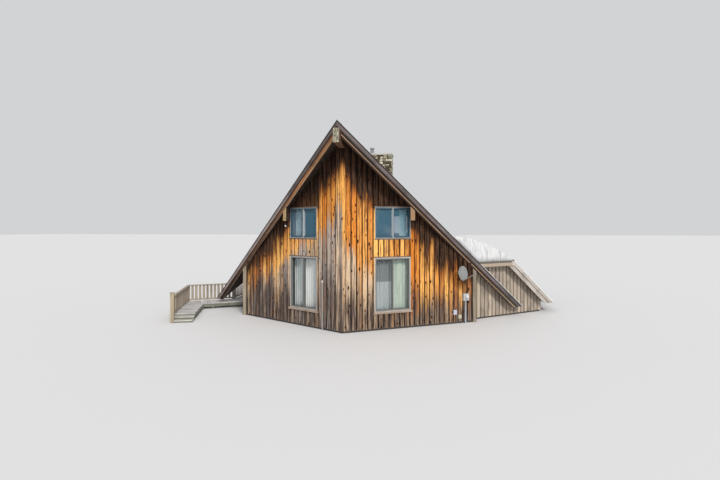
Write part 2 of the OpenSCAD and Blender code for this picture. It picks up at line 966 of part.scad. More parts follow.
module entry_walls() {
    color("sienna") difference() {
        intersection() {
            translate([-entry_x, entry_y, plinth_h])
                cube([entry_x - entry_in_x, entry_w, entry_ceil_z - plinth_h]);
            on_side(-1) along_house(-far, far) polygon([
                [entry_in_x, entry_ceil_z], [entry_x, entry_ceil_z], [entry_x, plinth_h],
                [corner_x, plinth_h], [corner_x, under_h - corner_x * slope]
            ]);
        }
        translate([-entry_x + entry_t, entry_y + entry_t, 0]) cube([far, entry_w - 2 * entry_t, far]);
        entry_door_hole();
    }
}

module entry_door_hole() {
    translate([-entry_x - cut, entry_y + entry_w / 2 - door_w / 2 - jamb_w, floor_z])
        cube([entry_t + 2 * cut, door_w + 2 * jamb_w, door_h + jamb_w]);
}

module entry_roof() {
    color("lightgray") translate([-entry_x - entry_eave, entry_y, entry_ceil_z])
        cube([entry_x + entry_eave - entry_in_x, entry_w, entry_roof_t]);
}

module entry_door_frame() {
    color("gainsboro") translate([-entry_x - casing_t, entry_y + entry_w / 2, floor_z]) difference() {
        translate([0, -door_w / 2 - jamb_w, 0]) cube([entry_t + casing_t, door_w + 2 * jamb_w, door_h + jamb_w]);
        translate([-cut, -door_w / 2, -cut]) cube([entry_t + casing_t + 2 * cut, door_w, door_h + cut]);
    }
}

module entry_door() {
    color("saddlebrown") translate([-entry_x + (entry_t - door_t) / 2, entry_y + entry_w / 2 - door_w / 2, floor_z])
        cube([door_t, door_w, door_h]);
}

// Chimney

module chimney() {
    color("rosybrown") chimney_envelope();
}

module chimney_cap() {
    color("silver") translate([chimney_x - chimney_w / 2 - cap_out, chimney_y - cap_out, chimney_h])
        cube([chimney_w + 2 * cap_out, chimney_d + 2 * cap_out, cap_t]);
}

module flue() {
    color("gray") translate([chimney_x - chimney_w / 2 + flue_d, chimney_y + chimney_d / 2, chimney_h + cap_t]) {
        difference() {
            cylinder(d = flue_d, h = flue_h - hood_h);
            translate([0, 0, cut]) cylinder(d = flue_d - 2 * flue_t, h = flue_h);
            for (a = [0, 60, 120]) rotate(a)
                translate([-flue_d, -slot_w / 2, flue_h - hood_h - slot_h - flue_rim])
                    cube([2 * flue_d, slot_w, slot_h]);
        }
        translate([0, 0, flue_h - hood_h]) cylinder(d = flue_d + 2 * hood_out, h = hood_h);
    }
}

// Porch, walkway and steps

// X runs across the walkway from its centre and Y along it from the steps
module on_walk() {
    translate([-walk_x, walk_y, 0]) rotate([0, 0, walk_deg]) children();
}

// Walkway and its leg after the turn, from the turn's outer corner, with the walkway along -Y
module walk_plan(inset = 0) {
    bend = leg_deg - walk_deg;
    far_end = (turn_x - corner_x) / cos(leg_deg) + leg_w;
    right = walk_w - inset;
    polygon([
        [inset, inset - walk_len],
        [right, inset - walk_len],
        [right, (right * sin(bend) - leg_w + inset) / cos(bend)],
        [
            far_end * cos(bend) + (leg_w - inset) * sin(bend),
            far_end * sin(bend) - (leg_w - inset) * cos(bend)
        ],
        [far_end * cos(bend) + inset * sin(bend), far_end * sin(bend) - inset * cos(bend)],
        [inset, (inset * sin(bend) - inset) / cos(bend)]
    ]);
}

module porch_plan(inset = 0) {
    start = porch_y - leg_w / 2;
    translate([-porch_x + inset, start])
        square([porch_x, porch_back - start - inset]);
}

module deck_plan(inset = 0) {
    difference() {
        union() {
            translate([-turn_x, turn_y]) rotate(walk_deg) walk_plan(inset);
            porch_plan(inset);
        }
        translate([-corner_x - deck_gap - inset, 0]) square(far);
        translate([-entry_x - deck_gap - inset, entry_y - deck_gap - inset])
            square([far, entry_w + 2 * (deck_gap + inset)]);
    }
}

module deck_boards() {
    color("tan") plan(deck_under, deck_z) deck_plan();
}

module deck_frame() {
    color("gray") {
        difference() {
            plan(deck_under - rim_h, deck_under) deck_plan();
            plan(deck_under - rim_h - cut, deck_under + cut) deck_plan(rim_t);
        }
        on_walk() for (y = [rim_t / 2, walk_len / 2], x = [-1, 1])
            translate([x * (walk_w - rim_t - post_foot) / 2 - post_foot / 2, y, 0])
                cube([post_foot, post_foot, deck_under]);
        for (x = [-porch_x + rim_t / 2, -corner_x - deck_gap - rim_t / 2 - post_foot])
            translate([x, porch_back - rim_t / 2 - post_foot, 0]) cube([post_foot, post_foot, deck_under]);
        translate([-turn_x, turn_y, 0]) rotate([0, 0, leg_deg])
            for (y = [-rim_t / 2 - post_foot, rim_t / 2 - leg_w]) translate([leg_rail_len / 2, y, 0])
                cube([post_foot, post_foot, deck_under]);
        translate([-entry_x - deck_gap - rim_t / 2, entry_y + (entry_w - door_step_w) / 2, deck_under - rim_h])
            cube([deck_gap + rim_t / 2, door_step_w, rim_h]);
    }
}

module steps_front() {
    rise = deck_z / (steps + 1);
    color("gray") on_walk() {
        for (i = [1:steps])
            translate([-walk_w / 2 + rim_t, -i * tread_run, deck_z - i * rise - tread_t])
                cube([walk_w - 2 * rim_t, tread_run, tread_t]);
        for (i = [1:steps]) {
            low = max(0, deck_z - (i + 1) * rise - tread_t);
            translate([-walk_w / 2 + rim_t, -i * tread_run, low])
                cube([walk_w - 2 * rim_t, riser_t, deck_z - i * rise - tread_t - low]);
        }
        for (x = [-walk_w / 2, walk_w / 2 - rim_t]) translate([x, 0, 0]) rotate([90, 0, 90])
            linear_extrude(rim_t) polygon([
                [0, 0], [-steps * tread_run, 0],
                for (i = [steps:-1:1]) each [
                    [-i * tread_run, deck_z - i * rise], [-(i - 1) * tread_run, deck_z - i * rise]
                ]
            ]);
    }
}

// Straight railing along X from 0 to len, standing on the deck, with a post at each end
module railing(len) {
    count = ceil((len - rail_post) / bal_pitch);
    for (x = [0, len - rail_post]) translate([x, -rail_post / 2, 0]) cube([rail_post, rail_post, rail_h - hand_t]);
    translate([0, -hand_w / 2, rail_h - hand_t]) cube([len, hand_w, hand_t]);
    translate([rail_post, -hand_t / 2, low_rail_z]) cube([len - 2 * rail_post, hand_t, low_rail_h]);
    for (i = [1:count - 1])
        translate([rail_post / 2 + i * (len - rail_post) / count - bal_w / 2, -bal_t / 2, low_rail_z + low_rail_h])
            cube([bal_w, bal_t, rail_h - hand_t - low_rail_z - low_rail_h]);
}

module walkway_railing() {
    color("gray") {
        on_walk() translate([-walk_w / 2 + hand_w / 2, 0, deck_z]) rotate([0, 0, 90]) railing(walk_len);
        translate([-turn_x, turn_y, deck_z]) rotate([0, 0, leg_deg]) translate([0, -hand_w / 2, 0])
            railing(leg_rail_len);
    }
}

module porch_railing() {
    color("gray") {
        translate([-porch_x + hand_w / 2, porch_y + deck_gap, deck_z]) rotate([0, 0, 90])
            railing(porch_back - hand_w - porch_y - 2 * deck_gap);
        translate([-porch_x, porch_back - hand_w / 2, deck_z]) railing(porch_x - eave_x - rail_end);
    }
}

module door_step() {
    color("tan") translate([-entry_x - deck_gap - door_step_run, entry_y + (entry_w - door_step_w) / 2, deck_z])
        cube([door_step_run, door_step_w, door_step_h]);
}

// Fittings on the walls

// Z points out of the bowl from its lowest point
module dish_axis() {
    on_face(1) translate([dish_s, -dish_off, dish_z]) rotate([0, 0, dish_turn]) rotate([90 - dish_tilt, 0, 0])
        children();
}

module dish_reflector() {
    r = (pow(dish_d / 2, 2) + pow(dish_bowl, 2)) / (2 * dish_bowl);
    color("lightgray") dish_axis() rotate_extrude($fn = 64) intersection() {
        translate([0, r]) difference() {
            circle(r = r + dish_t, $fn = 256);
            circle(r = r, $fn = 256);
        }
        translate([0, -dish_t]) square([dish_d / 2, dish_bowl + dish_t]);
    }
}

// The arm in the plane of the dish's axis: down behind the bowl, then out and up to the receiver
module dish_arm(back) {
    rotate([90, 0, 90]) linear_extrude(dish_arm_w, center = true) {
        hull() {
            translate([0, back]) square(dish_arm_w);
            translate([-dish_d / 2 - dish_arm_w, back]) square(dish_arm_w);
        }
        hull() {
            translate([-dish_d / 2 - dish_arm_w, back]) square(dish_arm_w);
            translate([-feed_drop, feed_out]) square(dish_arm_w);
        }
    }
}

// Wall plate, mast tube, plate behind the bowl, and the arm with the receiver in front of it
module dish_mount() {
    back = -dish_t - dish_back_t - dish_seat;
    color("silver") {
        on_face(1) {
            translate([dish_s - dish_plate / 2, -dish_plate_t, dish_z - dish_plate / 2])
                cube([dish_plate, dish_plate_t, dish_plate]);
            translate([dish_s, -dish_plate_t / 2, dish_z]) rotate([90, 0, 0])
                cylinder(d = mast_d, h = dish_off - dish_plate_t / 2 - dish_t - dish_back_t / 2);
        }
        dish_axis() {
            translate([-dish_plate / 2, -dish_plate / 2, back]) cube([dish_plate, dish_plate, dish_back_t]);
            dish_arm(back);
            translate([0, -feed_drop + dish_arm_w / 2, feed_out - feed_len / 2])
                cylinder(d = feed_d, h = feed_len);
        }
    }
}

module meter_box() {
    color("lightgray") on_face(1) {
        translate([meter_s - meter_w / 2, -meter_d, meter_z - meter_h / 2]) cube([meter_w, meter_d, meter_h]);
        translate([meter_s, -conduit_d, 0]) cylinder(d = conduit_d, h = meter_z - meter_h / 2);
    }
}

module utility_boxes() {
    color("slategray") on_face(1) {
        translate([face_len - box_in - box_w / 2, -box_d, box_z]) cube([box_w, box_d, box_h]);
        translate([face_len - small_box_in - small_box_w / 2, -small_box_d, small_box_z])
            cube([small_box_w, small_box_d, small_box_h]);
    }
}

module wall_pipe() {
    color("lightgray") on_face(-1) translate([pipe_s, -pipe_cap_d / 2, 0]) {
        cylinder(d = pipe_d, h = pipe_top);
        translate([0, 0, pipe_top]) cylinder(d = pipe_cap_d, h = pipe_cap_h);
    }
}

module flood_light() {
    color("lightgray") on_side(-1) translate([purlin_x, face_y(purlin_x), flood_z]) rotate([0, 0, prow_deg]) {
        translate([-flood_base / 2, -flood_base_d, 0]) cube([flood_base, flood_base_d, flood_base]);
        translate([0, -flood_base_d, flood_base / 2]) rotate([90 + shade_tilt, 0, 0])
            cylinder(d1 = shade_back_d, d2 = shade_d, h = shade_len);
    }
}

foundation();
ground_floor();
upper_floor();
front_wall_left();
front_wall_right();
side_wall_left();
side_wall_right();
rear_wall();
roof_left();
roof_right();
front_fascia();
front_barge_rafters();
rear_fascia();
left_eave_board();
ridge_beam();
purlins();
corner_post_left();
corner_post_right();
upper_window_frames();
lower_window_frames();
rear_window_frames();
front_glass();
rear_glass();
curtain_rails();
curtains();
wing_front_wall();
wing_outer_wall();
wing_rear_wall();
wing_flat_roof();
wing_slope_roof();
wing_floor();
wing_front_boards();
wing_rear_boards();
wing_snow();
entry_walls();
entry_roof();
entry_door_frame();
entry_door();
chimney();
chimney_cap();
flue();
deck_boards();
deck_frame();
steps_front();
door_step();
walkway_railing();
porch_railing();
dish_reflector();
dish_mount();
meter_box();
utility_boxes();
wall_pipe();
flood_light();
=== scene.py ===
import math
import random

import bmesh
import bpy
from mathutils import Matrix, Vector


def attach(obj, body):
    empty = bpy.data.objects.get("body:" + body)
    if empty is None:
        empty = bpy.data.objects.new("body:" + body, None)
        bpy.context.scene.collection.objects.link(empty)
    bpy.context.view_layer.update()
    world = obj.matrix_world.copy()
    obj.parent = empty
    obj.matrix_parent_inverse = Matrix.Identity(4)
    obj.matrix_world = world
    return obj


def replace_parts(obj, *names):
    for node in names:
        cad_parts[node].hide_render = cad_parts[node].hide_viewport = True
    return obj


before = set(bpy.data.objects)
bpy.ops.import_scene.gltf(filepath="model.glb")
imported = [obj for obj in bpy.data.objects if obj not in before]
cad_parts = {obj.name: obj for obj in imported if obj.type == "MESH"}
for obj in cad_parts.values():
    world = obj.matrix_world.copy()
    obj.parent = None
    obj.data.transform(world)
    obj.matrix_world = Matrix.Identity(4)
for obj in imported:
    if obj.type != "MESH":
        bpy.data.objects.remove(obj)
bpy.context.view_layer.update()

scene = bpy.context.scene


# Viewpoint
# A level view from a little right of the prow, 16 m in front of it and just over the
# height of the upper windows' sills, with a wide lens turned a little to the left.
HORIZON_ROW = 228
IMAGE_W = 720
IMAGE_H = 480

camera = bpy.data.objects.new("viewpoint", bpy.data.cameras.new("viewpoint"))
scene.collection.objects.link(camera)
camera.location = (3.19, -16.2, 3.87)
camera.rotation_euler = (math.radians(90), 0, math.radians(8.9))
camera.data.lens = 22.5
camera.data.sensor_width = 36.0
camera.data.shift_y = (HORIZON_ROW - IMAGE_H / 2) / IMAGE_W
camera.data.clip_end = 500
scene.camera = camera
scene.view_settings.view_transform = "Standard"


# Studio
# A plain pale floor under an even pale sky, with one broad soft lamp high in front
# of the right face, so that both faces of the prow are lit and the right one more.
class Value:
    """A number, vector or colour that a node gives, to be reckoned with like a plain number."""

    def __init__(self, socket):
        self.socket = socket
        self.tree = socket.id_data

    def of(self, operation, *others):
        return wire(self.tree, "ShaderNodeMath", self, *others, operation=operation)

    def __add__(self, other):
        return self.of("ADD", other)

    def __sub__(self, other):
        return self.of("SUBTRACT", other)

    def __rsub__(self, other):
        return wire(self.tree, "ShaderNodeMath", other, self, operation="SUBTRACT")

    def __mul__(self, other):
        if isinstance(other, tuple):
            return wire(self.tree, "ShaderNodeVectorMath", self, other, operation="MULTIPLY")
        return self.of("MULTIPLY", other)

    def __truediv__(self, other):
        return self.of("DIVIDE", other)

    def __abs__(self):
        return self.of("ABSOLUTE")

    def fade(self, low, high, start=0.0, end=1.0):
        """A smooth step from start to end as this value goes from low to high."""
        return wire(self.tree, "ShaderNodeMapRange", self, low, high, start, end,
                    interpolation_type="SMOOTHSTEP")


def put(socket, value):
    """Feeds a socket with the value of another node or with a constant."""
    if isinstance(value, Value):
        value.tree.links.new(value.socket, socket)
    elif value is not None:
        socket.default_value = value


def add_node(tree, kind, *values, **settings):
    """Adds a node, sets its options and feeds its inputs in order."""
    node = tree.nodes.new(kind)
    for key, value in settings.items():
        setattr(node, key, value)
    for socket, value in zip(node.inputs, values):
        put(socket, value)
    return node


def wire(tree, kind, *values, out=0, **settings):
    """Adds a node and gives back one of its outputs."""
    return Value(add_node(tree, kind, *values, **settings).outputs[out])


def plain_material(name, color, roughness, metallic=0.0):
    material = bpy.data.materials.new(name)
    material.use_nodes = True
    surface = material.node_tree.nodes["Principled BSDF"].inputs
    surface["Base Color"].default_value = (*color, 1)
    surface["Roughness"].default_value = roughness
    surface["Metallic"].default_value = metallic
    return material


FLOOR_REACH = 240
floor_mesh = bpy.data.meshes.new("floor")
floor_mesh.from_pydata(
    [(x * FLOOR_REACH, y * FLOOR_REACH, -0.001) for x, y in ((-1, -1), (1, -1), (1, 1), (-1, 1))],
    [], [(0, 1, 2, 3)])
floor = bpy.data.objects.new("floor", floor_mesh)
scene.collection.objects.link(floor)
floor_mesh.materials.append(plain_material("floor_white", (0.78, 0.78, 0.79), 0.9))

scene.world = bpy.data.worlds.new("studio")
scene.world.use_nodes = True
sky = scene.world.node_tree
sky.nodes.clear()
rays = add_node(sky, "ShaderNodeLightPath").outputs
seen = Value(rays["Is Camera Ray"])
for ray in ("Is Glossy Ray", "Is Transmission Ray"):
    seen = seen.of("MAXIMUM", Value(rays[ray]))
lit = wire(sky, "ShaderNodeBackground", (0.95, 0.97, 1.0, 1), 0.62)
shown = wire(sky, "ShaderNodeBackground", (0.64, 0.65, 0.66, 1), 1.0)
add_node(sky, "ShaderNodeOutputWorld", wire(sky, "ShaderNodeMixShader", seen, lit, shown))

key = bpy.data.objects.new("key_lamp", bpy.data.lights.new("key_lamp", "SUN"))
scene.collection.objects.link(key)
key.data.energy = 2.05
key.data.angle = math.radians(14)
key.data.color = (1.0, 0.96, 0.9)
key.rotation_euler = Vector((-0.42, 0.72, -0.62)).to_track_quat("-Z", "Y").to_euler()


# Walls of vertical cedar boards
# Rough-sawn cedar boards stand upright on the frame, with a second layer of boards nailed
# over their joints. Weather has blackened them under the eaves, left them orange below that
# and bleached them further down, each board by a different amount, with dark knots all over.
# The boards behind the battens are coloured far darker than the battens: painted shade in the narrow gaps
# between them.
PITCH = 0.22
BATTEN_W = 0.165
BATTEN_T = 0.030
PROW = math.radians(30)
FACE_LEN = 5.8
CORNER_X = FACE_LEN * math.cos(PROW)
CORNER_Y = FACE_LEN * math.sin(PROW)
REAR_Y = CORNER_Y + 8.3
RIDGE_Z = 7.59
ROOF_V = 0.325 * math.sqrt(2)
SOFFIT_Z = RIDGE_Z - ROOF_V
VERGE = math.radians(37.65)
PROW_OUT = 0.98
WALL_FOOT = 0.07
UPPER_WIN = (1.29, 2.79, 3.47, 4.67)
LOWER_WIN = (1.27, 2.79, 0.68, 2.75)


def group(name, inputs, outputs):
    """An empty shader node group with the values it is given and the sockets it fills."""
    tree = bpy.data.node_groups.new(name, "ShaderNodeTree")
    for label, usual in inputs.items():
        kind = "NodeSocketColor" if isinstance(usual, tuple) else "NodeSocketFloat"
        tree.interface.new_socket(label, in_out="INPUT", socket_type=kind).default_value = usual
    for label, kind in outputs.items():
        tree.interface.new_socket(label, in_out="OUTPUT", socket_type="NodeSocket" + kind)
    given = [Value(socket) for socket in tree.nodes.new("NodeGroupInput").outputs[:len(inputs)]]
    return tree, given, tree.nodes.new("NodeGroupOutput").inputs


def use(shared, **values):
    """Places a shared group in a material and gives back its outputs by name."""
    tree = next(value.tree for value in values.values() if isinstance(value, Value))
    node = tree.nodes.new("ShaderNodeGroup")
    node.node_tree = shared
    for label, value in values.items():
        put(node.inputs[label], value)
    return {socket.name: Value(socket) for socket in node.outputs}


def noise(vector, detail=3.0, roughness=0.55):
    """Soft noise whose cells are one unit of the vector wide."""
    return wire(vector.tree, "ShaderNodeTexNoise", vector, None, 1.0, detail, roughness)


def xyz(x, y, z):
    return wire(x.tree, "ShaderNodeCombineXYZ", x, y, z)


def dot(place, direction):
    return wire(place.tree, "ShaderNodeVectorMath", place, direction, operation="DOT_PRODUCT", out=1)


def parts_of(vector, kind="XYZ"):
    """The three parts of a vector or a colour."""
    return [Value(socket) for socket in add_node(vector.tree, "ShaderNodeSeparate" + kind, vector).outputs]


def mix(factor, a, b, mode="MIX"):
    """Mixes two colours, each a value or a tuple."""
    tree = next(value.tree for value in (factor, a, b) if isinstance(value, Value))
    node = add_node(tree, "ShaderNodeMix", data_type="RGBA", blend_type=mode)
    put(node.inputs[0], factor)
    for socket, color in ((node.inputs[6], a), (node.inputs[7], b)):
        put(socket, (*color, 1) if isinstance(color, tuple) else color)
    return Value(node.outputs[2])


def new_material(name):
    """A material, and the place on the piece in metres that its look is worked out from."""
    material = bpy.data.materials.new(name)
    material.use_nodes = True
    return material, wire(material.node_tree, "ShaderNodeTexCoord", out=3)


def where(material):
    """The place on a piece, as x, y and z, for a material that is made already."""
    return parts_of(wire(material.node_tree, "ShaderNodeTexCoord", out=3))


def cover(material, color, roughness, height, strength, distance):
    """Gives a material its colour, its roughness and a relief of a strength and a depth in metres."""
    surface = material.node_tree.nodes["Principled BSDF"].inputs
    relief = add_node(material.node_tree, "ShaderNodeBump")
    for socket, value in ((relief.inputs["Strength"], strength), (relief.inputs["Distance"], distance),
                          (relief.inputs["Height"], height), (surface["Normal"], Value(relief.outputs[0])),
                          (surface["Base Color"], color), (surface["Roughness"], roughness)):
        put(socket, value)
    return material


def recolour(material, factor, color, mode="MIX"):
    """Mixes one more colour over the one that a material has."""
    base = material.node_tree.nodes["Principled BSDF"].inputs["Base Color"]
    put(base, mix(factor, Value(base.links[0].from_socket), color, mode))


SURFACE = {"Color": "Color", "Roughness": "Float", "Height": "Float"}
# Cedar weathering, and painted shade on the boards behind the battens (Raised 0).
weathered, given, gives = group(
    "cedar_weather_and_gap_shade", {"Along": 0.0, "Height": 0.0, "Depth": 0.0, "Raised": 1.0, "Cover": 0.0, "Pale": 0.5,
                        "Grey": 0.5, "Gloom": 1.0}, SURFACE)
along, height, depth, raised, covered, pale, grey, gloom = given
board = (along / PITCH + raised * 0.5).of("FLOOR")
hashed = wire(weathered, "ShaderNodeTexWhiteNoise", xyz(board, raised * 15.5, 0.0), out=1,
              noise_dimensions="2D")
own_a, own_b, own_c = parts_of(hashed, "Color")
board_seed = own_a * 37.0
grain = noise(xyz(along * 85.0, board_seed, height * 2.6), 4.0, 0.65)
streak = noise(xyz(along * 16.0, board_seed, height * 0.8))
patch = noise(xyz(along, 4.0, height * 0.7), 2.0)


def swing(value, reach):
    """A value from 0 to 1 as an offset of up to half the reach to either side."""
    return value.of("MULTIPLY_ADD", reach, -reach / 2)


# How far down the black weathering comes on this board
reach = (abs(along) * -0.11 + 1.12) * gloom
for value, amount in ((own_b, 0.45), (streak, 1.3), (patch, 1.2)):
    reach = reach + swing(value, amount) * gloom
below = depth - reach
black = below.fade(-0.15, 0.25, 1.0, 0.0).of("MAXIMUM", covered)
brown = below.fade(0.0, 0.85, 1.0, 0.0)
fresh = mix(own_c, (1.00, 0.56, 0.160), (0.70, 0.225, 0.030))
fresh = mix((streak + swing(grain, 0.4)).fade(0.52, 0.72), fresh, (0.40, 0.12, 0.030))
# Behind the battens the boards are near black in every zone: painted shade in the narrow gaps.
fresh = mix(raised, mix(streak, (0.036, 0.012, 0.005), (0.20, 0.060, 0.014)), fresh)
tan_wood = mix(own_b, (0.92, 0.67, 0.43), (0.52, 0.33, 0.19))
grey_wood = mix(own_b, (0.50, 0.415, 0.355), (0.15, 0.140, 0.140))
greyed = (grey + swing(own_c, 0.7) + swing(streak, 1.0)).fade(0.2, 0.8)
# Painted shade: near-black boards behind the battens in the pale zone.
pale_wood = mix(raised, mix(streak, (0.010, 0.007, 0.006), (0.050, 0.035, 0.027)),
                mix(greyed, tan_wood, grey_wood))
color = mix((pale + swing(own_a, 0.5) + swing(streak, 1.8)).fade(0.2, 0.8), fresh, pale_wood)
rust = mix(grain.fade(0.35, 0.7), (0.085, 0.026, 0.010), (0.26, 0.070, 0.016))
color = mix(brown * 0.8, color, rust)
# Black soot on the battens, and darker still behind them as painted shade.
soot_and_gap_shade = mix((streak + swing(grain, 0.5)).fade(0.42, 0.66),
           mix(raised, (0.003, 0.002, 0.002), (0.012, 0.008, 0.007)),
           mix(raised, (0.010, 0.007, 0.006), (0.085, 0.045, 0.026)))
color = mix(black * 0.96, color, soot_and_gap_shade)
# Darker towards the foot of the wall, and near black behind the battens as painted shade.
foot = (height - (grey * 0.9 + swing(own_c, 0.8))).fade(0.4, 1.8, 1.0, 0.0)
foot = foot * streak.fade(0.3, 0.62, 0.42, 1.0)
color = mix(foot, color, mix(raised, (0.008, 0.006, 0.006), (0.100, 0.078, 0.070)))
dirt = streak.fade(0.54, 0.65) * grain.fade(0.4, 0.6, 0.45, 1.0)
color = mix(dirt * 0.75, color, (0.075, 0.040, 0.026))
knots = add_node(weathered, "ShaderNodeTexVoronoi", xyz(along * 8.0, board_seed, height * 3.4), None, 1.0)
chance, girth = parts_of(Value(knots.outputs["Color"]), "Color")[:2]
chosen = chance.of("GREATER_THAN", 0.08)
from_knot = Value(knots.outputs["Distance"]) - (girth * 0.17 + 0.05)
knot = from_knot.fade(-0.02, 0.05, 1.0, 0.0) * chosen
halo = from_knot.fade(0.0, 0.18, 1.0, 0.0) * chosen
color = mix(halo * 0.40, color, (0.16, 0.05, 0.015))
color = mix(knot * 0.95, color, (0.014, 0.009, 0.008))
put(gives["Color"], mix(1.0, color, grain.fade(0.29, 0.71, 0.50, 1.45), "MULTIPLY"))
put(gives["Roughness"], grain.fade(0.2, 0.8, 0.9, 0.72))
put(gives["Height"], grain * 0.7 + streak * 0.5 - knot * 0.6)


def cedar(name, angle, raised=False, eave=None, gloom=1.0, grey=0.5, pale=0.5, bleach=(), head=None,
          start=(0.0, 0.0)):
    """Cedar for one wall whose run goes in the direction angle from start. Its depth is measured
    from the main roof's underside, or from the level eave. The bleached part reaches to the
    highest of the bleach lines, each its height at the start and its fall per metre. Over the
    head of a window (left, right, height) the boards are black up to the roof."""
    material, place = new_material(name)
    x, z = parts_of(place)[::2]
    way = (math.cos(angle), math.sin(angle), 0)
    run = dot(place, way) - (start[0] * way[0] + start[1] * way[1])
    depth = SOFFIT_Z - (abs(x) + z) if eave is None else eave - z
    if bleach:
        line = 0.7
        for height, fall in bleach:
            line = (abs(run) * -fall + height).of("MAXIMUM", line)
        pale = (line - z).fade(-0.9, 0.9)
    over = 0.0
    if head:
        left, right, high = head
        beside = abs(abs(run) - (left + right) / 2) - (right - left) / 2
        over = beside.fade(0.05, 0.25, 0.92, 0.0) * z.fade(high - 0.1, high)
    made = use(weathered, Along=run, Height=z, Depth=depth, Raised=float(raised), Cover=over, Pale=pale,
               Grey=grey, Gloom=gloom)
    cover(material, *made.values(), 0.55, 0.012)
    material.node_tree.nodes["Principled BSDF"].inputs["Specular IOR Level"].default_value = 0.12
    return material


def finish(node, material):
    """Gives a CAD node its material."""
    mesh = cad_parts[node].data
    mesh.materials.clear()
    mesh.materials.append(material)


def new_piece(name, mesh):
    piece = bpy.data.objects.new(name, mesh)
    scene.collection.objects.link(piece)
    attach(piece, "root")
    return piece


def add_mesh(name, points, faces, material, slot, smooth=False):
    """A piece of the cabin made from its points and faces."""
    mesh = bpy.data.meshes.new(name)
    mesh.from_pydata([tuple(p) for p in points], [], faces)
    mesh.materials.append(material)
    if smooth:
        mesh.shade_smooth()
    return new_piece(name, mesh)


def turned_over(faces):
    return [tuple(reversed(face)) for face in faces]


def unit_part(name, points, faces):
    """A part for repeat_tree, one unit in each direction."""
    mesh = bpy.data.meshes.new(name)
    mesh.from_pydata(points, [], faces)
    return bpy.data.objects.new(name, mesh)


def chamfered_bar(inset):
    """A bar that stands on its base with its back on the wall, with chamfered front arrises."""
    half = [(0.5 - inset, -1), (0.5, inset - 1), (0.5, 0)]
    outline = [(-x, y) for x, y in reversed(half)] + half
    count = len(outline)
    faces = [tuple(range(count)), tuple(reversed(range(count, 2 * count)))]
    faces += [(count + i, count + (i + 1) % count, (i + 1) % count, i) for i in range(count)]
    return unit_part("batten_bar", [(x, y, z) for z in (0, 1) for x, y in outline], faces)


def repeat_tree(name, part, turn_wobble):
    """Geometry Nodes that set a part at every point, sized by the point's "size" and turned by its
    "turn" with a small random change, then realized with its material."""
    tree = bpy.data.node_groups.new(name, "GeometryNodeTree")
    sockets = {}
    for label, kind in (("Places", "Geometry"), ("Part", "Object"), ("Finish", "Material"),
                        ("Turn wobble", "Float"), ("Seed", "Int")):
        socket = tree.interface.new_socket(label, in_out="INPUT", socket_type="NodeSocket" + kind)
        sockets[label] = socket.identifier
        if label == "Turn wobble":
            socket.default_value = turn_wobble
    tree.interface.new_socket("Pieces", in_out="OUTPUT", socket_type="NodeSocketGeometry")
    places, shape, look, wobble, seed = [Value(s) for s in tree.nodes.new("NodeGroupInput").outputs[:5]]
    size, turn = [wire(tree, "GeometryNodeInputNamedAttribute", label, data_type="FLOAT_VECTOR")
                  for label in ("size", "turn")]
    chance = add_node(tree, "FunctionNodeRandomValue", (-1, -1, -1), (1, 1, 1), data_type="FLOAT_VECTOR")
    put(chance.inputs["Seed"], seed + 2)
    jitter = wire(tree, "ShaderNodeVectorMath", Value(chance.outputs[0]), None, None, wobble,
                  operation="SCALE")
    angle = wire(tree, "ShaderNodeVectorMath", jitter, turn, operation="ADD")
    shape = add_node(tree, "GeometryNodeObjectInfo", shape).outputs["Geometry"]
    instances = add_node(tree, "GeometryNodeInstanceOnPoints", places)
    for label, value in (("Instance", Value(shape)), ("Rotation", angle), ("Scale", size)):
        put(instances.inputs[label], value)
    solid = wire(tree, "GeometryNodeRealizeInstances", Value(instances.outputs[0]))
    finished = add_node(tree, "GeometryNodeSetMaterial", solid)
    put(finished.inputs["Material"], look)
    add_node(tree, "NodeGroupOutput", Value(finished.outputs[0]))
    return tree, sockets, part


def set_out(name, repeat, places, material, seed):
    """Sets a part at every place (point, size, turn) and keeps the result as a plain mesh."""
    tree, sockets, part = repeat
    layout = bpy.data.meshes.new(name + "_layout")
    layout.from_pydata([row[0] for row in places], [], [])
    for label, column in (("size", 1), ("turn", 2)):
        stored = layout.attributes.new(label, "FLOAT_VECTOR", "POINT")
        stored.data.foreach_set("vector", [v for row in places for v in row[column]])
    holder = bpy.data.objects.new(name + "_layout", layout)
    scene.collection.objects.link(holder)
    modifier = holder.modifiers.new("repeat", "NODES")
    modifier.node_group = tree
    for label, value in (("Part", part), ("Finish", material), ("Seed", seed)):
        modifier[sockets[label]] = value
    graph = bpy.context.evaluated_depsgraph_get()
    mesh = bpy.data.meshes.new_from_object(holder.evaluated_get(graph))
    mesh.name = name
    bpy.data.objects.remove(holder)
    return new_piece(name, mesh)


def at_wall(start, angle, along, out=0.0, z=0.0):
    """A point of a wall: along its run from start, and out in front of it."""
    return (start[0] + along * math.cos(angle) + out * math.sin(angle),
            start[1] + along * math.sin(angle) - out * math.cos(angle), z)


batten_row = repeat_tree("batten_row", chamfered_bar(0.12), 0.0)


